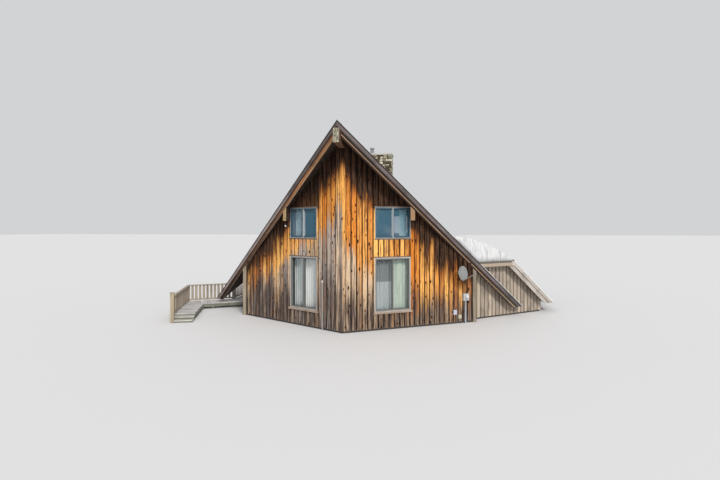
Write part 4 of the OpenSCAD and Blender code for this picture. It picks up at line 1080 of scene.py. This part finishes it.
bleached = lumber("bleached_boards", (0.66, 0.61, 0.56), (0.41, 0.36, 0.32), stain=0.3, **edge_grain)
x, y, z = where(bleached)
level_color = mix(z.fade(FLAT_Z - 0.065, FLAT_Z - 0.055), (0.42, 0.34, 0.26), (0.13, 0.11, 0.09))
recolour(bleached, x.fade(FLAT_X - 0.15, FLAT_X - 0.05, 1.0, 0.0), level_color)
finish("wing_front_boards", bleached)
finish("wing_rear_boards", fascia_wood)
finish("wing_flat_roof", paint("roof_membrane", (0.30, 0.30, 0.30), (0.16, 0.15, 0.15), 0.8, 0.5))
finish("wing_floor", paint("wing_concrete", (0.30, 0.29, 0.27), (0.2, 0.19, 0.18), 0.9, 0.4))
trim_wood = lumber("corner_trim_wood", (0.60, 0.53, 0.46), (0.40, 0.34, 0.30))
corner_trim = wall_block(WING_START, VERGE, 1, wing_len - 0.10, wing_len + 0.028, WALL_FOOT,
                         KNEE_Z - 0.02, 0.036)
add_blocks("wing_corner_trim", [corner_trim], trim_wood, "siding")
wing_tabs = slope_courses(1, WING_RIDGE, FLAT_X, WING_RIDGE - FOOT_Z - 0.014)
wing_slope = set_out("shingles_wing", shingle_rows, wing_tabs, shingles, 13)
shear_off(wing_slope, [verge_plane(1)])
wing_edge = paint("wing_edge_paint", (0.84, 0.84, 0.82), (0.55, 0.54, 0.52), 0.5, 0.35)
verge_bar("wing_edge_trim", WING_RIDGE, (-0.022, 0.024), (-0.010, 0.0), FLAT_X, wing_edge,
          "wing_boards", (1,))


# Snow on the wing
# Snow that has slid off the main slope lies banked on the flat roof. It rises towards
# the main roof, has melted into shallow runnels at its front, and thin lines of it lie
# along the lower edges of both slopes.
SNOW_X = 4.02
SNOW_BULGE = 0.20
SNOW_LIP = 0.25
SNOW_RISE = 1.0
SNOW_FRONT = 0.7
SNOW_BACK = 1.2
SNOW_REAR = ROOF_REAR - 0.7
SNOW_COLUMNS = 72
SNOW_ROWS = 56


def snow_material():
    material, place = new_material("old_snow")
    x, y, z = parts_of(place)
    run = x * math.cos(VERGE) + y * math.sin(VERGE)
    melt = noise(xyz(run * 11.0, 0.0, z * 1.6), 5.0)
    grain = noise(place * (60, 60, 60), 3.0, 0.7)
    color = mix(melt.fade(0.44, 0.66), (0.72, 0.73, 0.74), (0.48, 0.49, 0.50))
    return cover(material, color, grain.fade(0.3, 0.7, 0.75, 0.95), grain, 0.25, 0.01)


def snow_limit(back, run):
    """Height of the snow over the flat roof at a distance from one of its ends."""
    share = min(1.0, max(0.0, back / run))
    return SNOW_LIP + SNOW_RISE * math.sqrt(1 - (1 - share) ** 2)


def lower_of(a, b, blend=0.10):
    """The smaller of two heights, with a rounded change from one to the other."""
    mid = max(0.0, min(1.0, 0.5 + (b - a) / (2 * blend)))
    return a * mid + b * (1 - mid) - blend * mid * (1 - mid)


rng = random.Random(21)
waves = [(rng.uniform(2.5, 11), rng.uniform(0, 6.28), rng.uniform(0.3, 1.0)) for k in range(6)]
points = []
bed = []
fall = Vector((FLAT_X - SNOW_X, 0, FLAT_Z - (RIDGE_Z - SNOW_X)))
out = Vector((-fall.z, 0, fall.x)).normalized()
for i in range(SNOW_COLUMNS + 1):
    t = i / SNOW_COLUMNS
    crest = Vector((SNOW_X, 0, RIDGE_Z - SNOW_X)) + fall * t + out * SNOW_BULGE * 5 * t * (1 - t)
    floor_z = max(FLAT_Z, RIDGE_Z - crest.x) + 0.002
    ripple = sum(a * math.sin(f * crest.x + p) for f, p, a in waves) / 3
    front = verge_y(crest.x, 0.035 + 0.03 * (0.5 + 0.5 * ripple))
    for j in range(SNOW_ROWS + 1):
        y = front + (SNOW_REAR - front) * (j / SNOW_ROWS) ** 1.8
        top = crest.z - 0.012 * (1 + math.sin(1.1 * y + 1.7 * crest.x)) * min(1.0, 5 * t * (1 - t))
        top = lower_of(top, floor_z + snow_limit((y - front) * math.cos(VERGE), SNOW_FRONT), 0.05)
        top = lower_of(top, floor_z + snow_limit(SNOW_REAR - y, SNOW_BACK) - SNOW_LIP)
        top -= 0.012 * (1 + ripple) * math.exp(-(y - front) / 0.5)
        points.append((crest.x, y, max(top, floor_z + 0.012)))
        bed.append((crest.x, y, floor_z))
tall = SNOW_ROWS + 1
last = SNOW_COLUMNS * tall
count = len(points)
faces = [(a, d, c, b) for a, b, c, d in grid_faces(SNOW_COLUMNS, SNOW_ROWS)]
faces += [tuple(count + k for k in reversed(face)) for face in faces]
rim = [*range(0, last + 1, tall), *range(last + 1, last + tall), *range(last - 1, 0, -tall),
       *range(tall - 2, 0, -1)]
faces += [(a, count + a, count + b, b) for a, b in zip(rim, rim[1:] + rim[:1])]
snow = snow_material()
drift = add_mesh("wing_snow_drift", points + bed, faces, snow, "snow", True)
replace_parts(drift, "wing_snow")
for name, top_z, height, depth, start in (("verge_snow_line", RIDGE_Z, 0.055, 0.10, 5.25),
                                          ("wing_snow_line", WING_RIDGE, 0.060, 0.16, FLAT_X)):
    line = verge_bar(name, top_z, (-height, -0.012), (-0.004, depth), start, snow, "snow", (1,))
    soften(line, 0.016, 3)


# Entry
# A small boarded porch house on the left, let into the slope, with a flat roof and a
# stained door of six panels between painted jambs.
ENTRY_X = 5.75
ENTRY_T = 0.11
DOOR_W = 0.9
DOOR_H = 2.03
DOOR_T = 0.045
JAMB_W = 0.06
DOOR_HALF = DOOR_W / 2 + JAMB_W
DOOR_FOOT = 0.62
DOOR_TOP = DOOR_FOOT + DOOR_H + JAMB_W
DOOR_FACE = ENTRY_X - (ENTRY_T - DOOR_T) / 2
DOOR_MID = ENTRY_Y + ENTRY_W / 2
BEVEL_W = 0.045

entry_start = (-ENTRY_X, 0.0)
door_gap = (DOOR_MID - DOOR_HALF, DOOR_MID + DOOR_HALF, WALL_FOOT, DOOR_TOP)
entry_places = batten_places(entry_start, LEFT, -(ENTRY_Y + ENTRY_W - 0.05), -(ENTRY_Y + 0.05), ENTRY_TOP,
                             [door_gap])
for angle, start_y in ((0.0, ENTRY_Y), (math.pi, ENTRY_Y + ENTRY_W)):
    x = -ENTRY_X + 0.06
    while x < -ENTRY_IN_X - 0.1:
        low = RIDGE_Z + x + 0.02 if x > -CORNER_X - 0.8 else WALL_FOOT
        if ENTRY_TOP - low > 0.05:
            entry_places.append(((x, start_y, low), (BATTEN_W, BATTEN_T, ENTRY_TOP - low), (0, 0, angle)))
        x += PITCH
clad("entry_walls", "entry_battens", LEFT, entry_places, 14, start=entry_start, eave=ENTRY_TOP, gloom=0.3,
     grey=0.4, pale=0.45)
finish("entry_roof", paint("entry_roofing", (0.20, 0.19, 0.19), (0.10, 0.10, 0.10), 0.75, 0.5))
finish("entry_door_frame", paint("jamb_paint", (0.44, 0.40, 0.37), (0.22, 0.18, 0.16)))
door_wood = lumber("door_wood", (0.20, 0.075, 0.028), (0.085, 0.032, 0.014), across=(0, 1, 0), stain=0.2)
finish("entry_door", door_wood)
panels = []
for near, far in ((-0.36, -0.06), (0.06, 0.36)):
    for low, high in ((0.14, 0.78), (0.9, 1.5), (1.62, 1.9)):
        for edge, out in ((0, 0.008), (BEVEL_W, 0.016)):
            panels.append(wall_block((-DOOR_FACE, DOOR_MID), LEFT, 1, near + edge, far - edge,
                                     DOOR_FOOT + low + edge, DOOR_FOOT + high - edge, out))
add_blocks("door_panels", panels, door_wood, "door_wood", 0.006)


def turned(profile, origin, direction, segments=28):
    """Points and faces of a round piece: a profile of (radius, distance) turned about a direction."""
    facing = Vector(direction).to_track_quat("Z", "Y")
    counts = [segments if r > 0 else 1 for r, d in profile]
    points = []
    faces = []
    for (r, d), count in zip(profile, counts):
        for k in range(count):
            a = 2 * math.pi * k / segments
            points.append(Vector(origin) + facing @ Vector((r * math.cos(a), r * math.sin(a), d)))
    first = 0
    for n0, n1 in zip(counts, counts[1:]):
        after = first + n0
        for k in range(segments):
            quad = [first + k % n0, first + (k + 1) % n0, after + (k + 1) % n1, after + k % n1]
            faces.append(tuple(dict.fromkeys(quad)))
        first = after
    return points, faces


knob = turned(((0.0, 0.0), (0.032, 0.0), (0.032, 0.006), (0.012, 0.010), (0.012, 0.032), (0.028, 0.044),
               (0.030, 0.058), (0.020, 0.070), (0.0, 0.073)),
              (-DOOR_FACE, DOOR_MID - 0.38, DOOR_FOOT + 1.0), (-1, 0, 0))
brass = plain_material("door_knob_metal", (0.35, 0.27, 0.16), 0.35, 1.0)
add_mesh("door_knob", *knob, brass, "door_wood", True)


# Foundation and floors
# A low foundation of poured concrete carries the walls, stained by splashing water along
# its foot. Inside lie two floors of sawn planks, the upper one open over the entry.
def concrete(name, light, dark):
    material, place = new_material(name)
    x, y, z = parts_of(place)
    fine = noise(place * (24, 24, 24), 4.0, 0.7)
    drips = noise(xyz((x + y) * 3.0, 0.0, z * 0.5))
    wet = (z + 0.2 - drips * 0.6).fade(0.0, 0.35, 0.8, 0.1)
    color = mix((fine * 0.6 + drips * 0.5).fade(0.35, 0.8), light, dark)
    color = mix(wet, color, (0.05, 0.045, 0.04))
    return cover(material, color, fine.fade(0.3, 0.7, 0.85, 0.97), fine, 0.35, 0.006)


finish("foundation", concrete("foundation_concrete", (0.17, 0.155, 0.14), (0.07, 0.062, 0.056)))
floor_wood = lumber("floor_planks", (0.30, 0.19, 0.11), (0.17, 0.10, 0.055), along=(0, 1, 0),
                    across=(1, 0, 0), pitch=0.14, gap=0.9, stain=0.1)
finish("ground_floor", floor_wood)
finish("upper_floor", floor_wood)


# Chimney
# Fieldstones laid in rough courses in recessed mortar, round a core that goes down
# through the house, under a cast slab with a galvanized flue and its slotted hood.
MORTAR = 0.026
STONE_OUT = 0.028
STONE_STEPS = 5
STONE_LOW = 6.25
STONE_TOP = RIDGE_Z + 0.43
CAP_TOP = STONE_TOP + 0.09
FLUE_X = -0.145


def stone_finish(name, light, dark):
    material, place = new_material(name)
    fine = noise(place * (45, 45, 45), 3.0, 0.7)
    tone = noise(place * (6, 6, 9), 4.0) * 0.8 + fine * 0.3
    color = mix(tone.fade(0.35, 0.8), light, dark)
    return cover(material, color, fine.fade(0.3, 0.7, 0.75, 0.95), tone, 0.4, 0.01)


def stone(rng, start, angle, a0, a1, z0, z1):
    """One fieldstone on a face of the chimney: a bulged patch with uneven corners and edges."""
    lean = [rng.uniform(-0.012, 0.012) for corner in range(8)]
    out = STONE_OUT * rng.uniform(0.55, 1.0)
    inner = range(1, STONE_STEPS)
    points = []
    for j in range(STONE_STEPS + 1):
        v = j / STONE_STEPS
        for i in range(STONE_STEPS + 1):
            u = i / STONE_STEPS
            along = (lean[0] * (1 - u) + lean[1] * u) * (1 - v) + (lean[2] * (1 - u) + lean[3] * u) * v
            rise = (lean[4] * (1 - v) + lean[5] * v) * (1 - u) + (lean[6] * (1 - v) + lean[7] * v) * u
            shift = -0.004
            if i in inner and j in inner:
                bulge = (1 - abs(2 * u - 1) ** 5) * (1 - abs(2 * v - 1) ** 5)
                shift = out * math.sqrt(bulge) * (1 + rng.uniform(-0.18, 0.18))
            points.append(at_wall(start, angle, a0 + (a1 - a0) * u + along, shift, z0 + (z1 - z0) * v + rise))
    return points, grid_faces(STONE_STEPS, STONE_STEPS)


finish("chimney", stone_finish("chimney_mortar", (0.070, 0.062, 0.045), (0.030, 0.026, 0.020)))
stone_looks = [stone_finish("fieldstone_tan", (0.60, 0.52, 0.33), (0.30, 0.25, 0.15)),
               stone_finish("fieldstone_grey", (0.36, 0.36, 0.27), (0.17, 0.17, 0.125)),
               stone_finish("fieldstone_brown", (0.15, 0.11, 0.05), (0.05, 0.037, 0.018)),
               stone_finish("fieldstone_pale", (0.84, 0.79, 0.64), (0.56, 0.52, 0.40))]
rng = random.Random(33)
left, right, front, back = CHIMNEY
stones = []
looks = []
wide, deep = right - left, back - front
for start, angle, length in (((left, front), 0.0, wide), ((right, front), RIGHT, deep),
                             ((right, back), math.pi, wide), ((left, back), LEFT, deep)):
    z = STONE_LOW
    while z < STONE_TOP - 0.03:
        row = min(rng.uniform(0.09, 0.17), STONE_TOP - z)
        if STONE_TOP - z - row < 0.07:
            row = STONE_TOP - z
        along = -0.01
        while along < length - 0.02:
            run = min(rng.uniform(0.11, 0.27), length + 0.01 - along)
            if length - along - run < 0.09:
                run = length + 0.01 - along
            stones.append(stone(rng, start, angle, along + MORTAR / 2, along + run - MORTAR / 2,
                                z + MORTAR / 2, z + row - MORTAR / 2))
            looks += [rng.choice((0, 0, 1, 1, 2, 2, 3, 3))] * STONE_STEPS ** 2
            along += run
        z += row
chimney_stones = add_mesh("chimney_stones", *joined(stones), stone_looks[0], "fieldstone", True)
for look in stone_looks[1:]:
    chimney_stones.data.materials.append(look)
chimney_stones.data.polygons.foreach_set("material_index", looks)
finish("chimney_cap", concrete("cap_concrete", (0.76, 0.74, 0.69), (0.52, 0.50, 0.46)))


def metal(name, color, dull):
    """Sheet metal with dull patches and streaks."""
    material = paint(name, color, dull, 0.4, 0.35)
    material.node_tree.nodes["Principled BSDF"].inputs["Metallic"].default_value = 0.75
    return material


finish("flue", metal("flue_metal", (0.34, 0.34, 0.35), (0.20, 0.18, 0.17)))
bands = [turned(((0.100, 0.0), (0.106, 0.0), (0.106, 0.022), (0.100, 0.022)),
                (FLUE_X, (front + back) / 2, CAP_TOP + up), (0, 0, 1), 40) for up in (0.06, 0.20)]
band_metal = metal("flue_band_metal", (0.24, 0.24, 0.245), (0.14, 0.13, 0.12))
add_mesh("flue_bands", *joined(bands), band_metal, "flue_metal")


# Walkway, porch, steps and railings
# Pressure-treated planks on a rim of joists, bleached to a silvery white: a walkway that
# comes up two steps, turns towards the house and widens into the porch at the entry,
# with railings of flat pickets on its outer side.
PORCH_X, PORCH_BACK = 6.75, 8.3
DECK_Z, DECK_T = 0.28, 0.04
WALK_START = (-7.05, 1.37)
WALK_TURN = math.radians(20)
WALK_W = 0.86
WALK_LEN = 3.3
LEG_TURN = math.radians(30)
LEG_W = 0.95
LEG_LEN = 2.8
DECK_PITCH = 0.146
DECK_BOARD = 0.14
DECK_GAP = 0.012
TREAD_RUN = 0.29


def deck_point(origin, turn, x, y):
    """A point of a deck's plan, in the frame of a deck that starts at origin and is turned."""
    return (origin[0] + x * math.cos(turn) - y * math.sin(turn),
            origin[1] + x * math.sin(turn) + y * math.cos(turn))


def deck_block(origin, turn, x0, x1, y0, y1, z0, z1):
    """A board lying on its face on a turned deck."""
    points = [(*deck_point(origin, turn, x, y), z) for z in (z0, z1)
              for x, y in ((x0, y0), (x1, y0), (x1, y1), (x0, y1))]
    return points, turned_over(BOX_FACES)


def deck_planks(name, origin, turn, crosswise, spans, planes=()):
    """Planks of the deck: each span is (near, far, low, high), the planks following each other from
    low to high. Crosswise planks lie along the deck's x axis and the others along its y axis."""
    axes = [(math.cos(turn), math.sin(turn), 0), (-math.sin(turn), math.cos(turn), 0)]
    grain, over = axes if crosswise else axes[::-1]
    boards = lumber(name + "_wood", (0.72, 0.71, 0.70), (0.44, 0.43, 0.42), along=grain, across=over,
                    pitch=DECK_PITCH, stain=0.2, shift=origin[0] * over[0] + origin[1] * over[1])
    blocks = []
    for near, far, low, high in spans:
        x = low
        while x < high - 0.03:
            end = min(x + DECK_BOARD, high)
            sides = (near, far, x, end) if crosswise else (x, end, near, far)
            blocks.append(deck_block(origin, turn, *sides, DECK_Z - DECK_T, DECK_Z))
            x += DECK_PITCH
    piece = add_mesh(name, *joined(blocks), boards, "deck_wood")
    shear_off(piece, planes)
    soften(piece, 0.003)
    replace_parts(piece, "deck_boards")


turn_corner = deck_point(WALK_START, WALK_TURN, -WALK_W / 2, WALK_LEN)
bend = LEG_TURN - WALK_TURN
inner_y = (WALK_W * math.sin(bend) - LEG_W) / math.cos(bend)
inner_corner = deck_point(turn_corner, WALK_TURN, WALK_W, inner_y)
mitre = Vector((turn_corner[1] - inner_corner[1], inner_corner[0] - turn_corner[0], 0)).normalized()
mitre_at = Vector((*turn_corner, 0))
leg_down = (math.sin(LEG_TURN), -math.cos(LEG_TURN), 0)
leg_low = (*deck_point(turn_corner, LEG_TURN, 0, -LEG_W), 0)
PORCH_START = turn_corner[1] + (-turn_corner[0] - PORCH_X + 0.0425) * math.tan(LEG_TURN) - LEG_W / 2
house = -CORNER_X - DECK_GAP
before = ENTRY_Y - DECK_GAP - PORCH_START
behind = ENTRY_Y + ENTRY_W + DECK_GAP - PORCH_START
deck_planks("walkway_planks", WALK_START, WALK_TURN, True, [(-WALK_W / 2, WALK_W / 2, 0, WALK_LEN)],
            [(mitre_at - mitre * 0.003, mitre)])
deck_planks("turned_walkway_planks", turn_corner, LEG_TURN, False, [(-LEG_W, 0, 0, LEG_LEN)],
            [(mitre_at + mitre * 0.003, -mitre), ((-PORCH_X - 0.003, 0, 0), (1, 0, 0))])
deck_planks("porch_corner_planks", (0, PORCH_START), 0, True, [(-PORCH_X, house, -5 * DECK_PITCH, -0.006)],
            [(leg_low, leg_down)])
deck_planks("porch_planks", (0, PORCH_START), 0, True,
            [(-PORCH_X, house, 0, before), (-PORCH_X, -ENTRY_X - DECK_GAP, before + 0.006, behind - 0.006),
             (-PORCH_X, house, behind, PORCH_BACK - PORCH_START)])

frame_wood = lumber("deck_frame_wood", (0.30, 0.31, 0.25), (0.15, 0.155, 0.12), along=(0.3, 1, 0),
                    across=(0, 0, 1), stain=0.4)
tread_wood = lumber("tread_wood", (0.70, 0.68, 0.64), (0.42, 0.40, 0.37), stain=0.2,
                    along=(math.cos(WALK_TURN), math.sin(WALK_TURN), 0),
                    across=(-math.sin(WALK_TURN), math.cos(WALK_TURN), 0))
finish("deck_frame", frame_wood)
finish("door_step", tread_wood)
rise = DECK_Z / 3
half = WALK_W / 2
treads = []
risers = []
for step in (1, 2):
    top = DECK_Z - step * rise
    nose = -step * TREAD_RUN
    treads += [(0.002 - half, half - 0.002, near, near + DECK_BOARD, top - DECK_T, top)
               for near in (nose, nose + 0.147)]
    risers.append((0.04 - half, half - 0.04, nose + 0.012, nose + 0.032, max(0.0, top - rise), top - DECK_T))
    risers += [(x, x + 0.038, nose + 0.004, nose + TREAD_RUN - 0.001, 0.0, top - DECK_T)
               for x in (0.004 - half, half - 0.042)]
newel = [(-0.44, -0.30, -0.60, -0.46, 0.0, 1.20), (-0.46, -0.28, -0.62, -0.44, 1.20, 1.24),
         (-0.43, -0.31, -0.46, -0.001, 1.04, 1.08), (-0.39, -0.35, -0.46, -0.001, 0.36, 0.45),
         (-0.38, -0.36, -0.37, -0.258, 0.45, 1.04), (-0.38, -0.36, -0.185, -0.073, 0.45, 1.04)]
newel_wood = lumber("newel_wood", (0.50, 0.42, 0.30), (0.24, 0.19, 0.14), stain=0.3)


def step_blocks(name, boards, material, bevel=0.003):
    """Boards at the walkway's head, in its own frame."""
    blocks = [deck_block(WALK_START, WALK_TURN, *sizes) for sizes in boards]
    return add_blocks(name, blocks, material, "deck_wood", bevel)


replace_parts(step_blocks("step_treads", treads, tread_wood), "steps_front")
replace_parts(step_blocks("step_risers", risers, frame_wood, 0.002), "steps_front")
step_blocks("newel_and_short_rail", newel, newel_wood)
finish("walkway_railing", lumber("walkway_railing_wood", (0.46, 0.39, 0.31), (0.22, 0.18, 0.14), stain=0.3))
finish("porch_railing", lumber("porch_railing_wood", (0.62, 0.56, 0.52), (0.36, 0.31, 0.28), stain=0.2))


# Fittings on the walls
# A satellite dish of painted steel on a mast and arm, an electric meter box with its
# conduit, two small junction boxes, a vent pipe and a flood lamp under a purlin.
METER_S = FACE_LEN - 0.52
METER_Z = 1.06
LID_HALF_W = 0.112
LID_HALF_H = 0.127
LENS_AT = (-2.6115, 1.3205, 3.9555)
LENS_AIM = (-0.4698, -0.8138, -0.3420)


def corners_of(node):
    """The corners of the box round a CAD node."""
    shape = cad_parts[node]
    return [shape.matrix_world @ Vector(corner) for corner in shape.bound_box]


finish("dish_reflector", paint("dish_paint", (0.29, 0.30, 0.295), (0.11, 0.11, 0.105), 0.45, 0.8))
finish("dish_mount", metal("dish_bracket_metal", (0.50, 0.50, 0.47), (0.28, 0.27, 0.25)))
finish("meter_box", paint("meter_enamel", (0.44, 0.49, 0.54), (0.24, 0.24, 0.24), 0.4, 0.35))
boxes = paint("box_plastic", (0.52, 0.52, 0.60), (0.26, 0.26, 0.28), 0.5, 0.3)
middle = sum(corner.x for corner in corners_of("utility_boxes")) / 8
recolour(boxes, where(boxes)[0].of("GREATER_THAN", middle), (0.50, 0.49, 0.36))
finish("utility_boxes", boxes)
zinc = paint("pipe_zinc", (0.40, 0.39, 0.38), (0.22, 0.20, 0.18), 0.45, 0.5)
cap_foot = max(corner.z for corner in corners_of("wall_pipe")) - 0.085
recolour(zinc, where(zinc)[2].of("GREATER_THAN", cap_foot), (0.72, 0.66, 0.60))
finish("wall_pipe", zinc)
finish("flood_light", paint("lamp_enamel", (0.030, 0.030, 0.032), (0.09, 0.08, 0.07), 0.4, 0.4))
lens = turned(((0.0, -0.002), (0.048, -0.002), (0.048, 0.004), (0.0, 0.008)), LENS_AT, LENS_AIM)
add_mesh("flood_lens", *lens, plain_material("lens_white", (0.80, 0.80, 0.80), 0.2), "lamp_metal", True)
lid = front_block(1, METER_S - LID_HALF_W, METER_S + LID_HALF_W, METER_Z - LID_HALF_H, METER_Z + LID_HALF_H,
                  0.126, -0.119)
lid_paint = paint("lid_enamel", (0.56, 0.56, 0.54), (0.30, 0.27, 0.24), 0.4, 0.35)
add_blocks("meter_lid", [lid], lid_paint, "meter_metal")
dome = turned(((0.0, 0.0), (0.095, 0.0), (0.095, 0.014), (0.088, 0.020), (0.086, 0.060), (0.072, 0.082),
               (0.040, 0.092), (0.0, 0.094)),
              at_wall((0, 0), PROW, METER_S + 0.01, 0.124, METER_Z + 0.02),
              (math.sin(PROW), -math.cos(PROW), 0))
dome_look = plain_material("meter_dome_pale", (0.62, 0.63, 0.64), 0.15)
add_mesh("meter_dome", *dome, dome_look, "meter_metal", True)
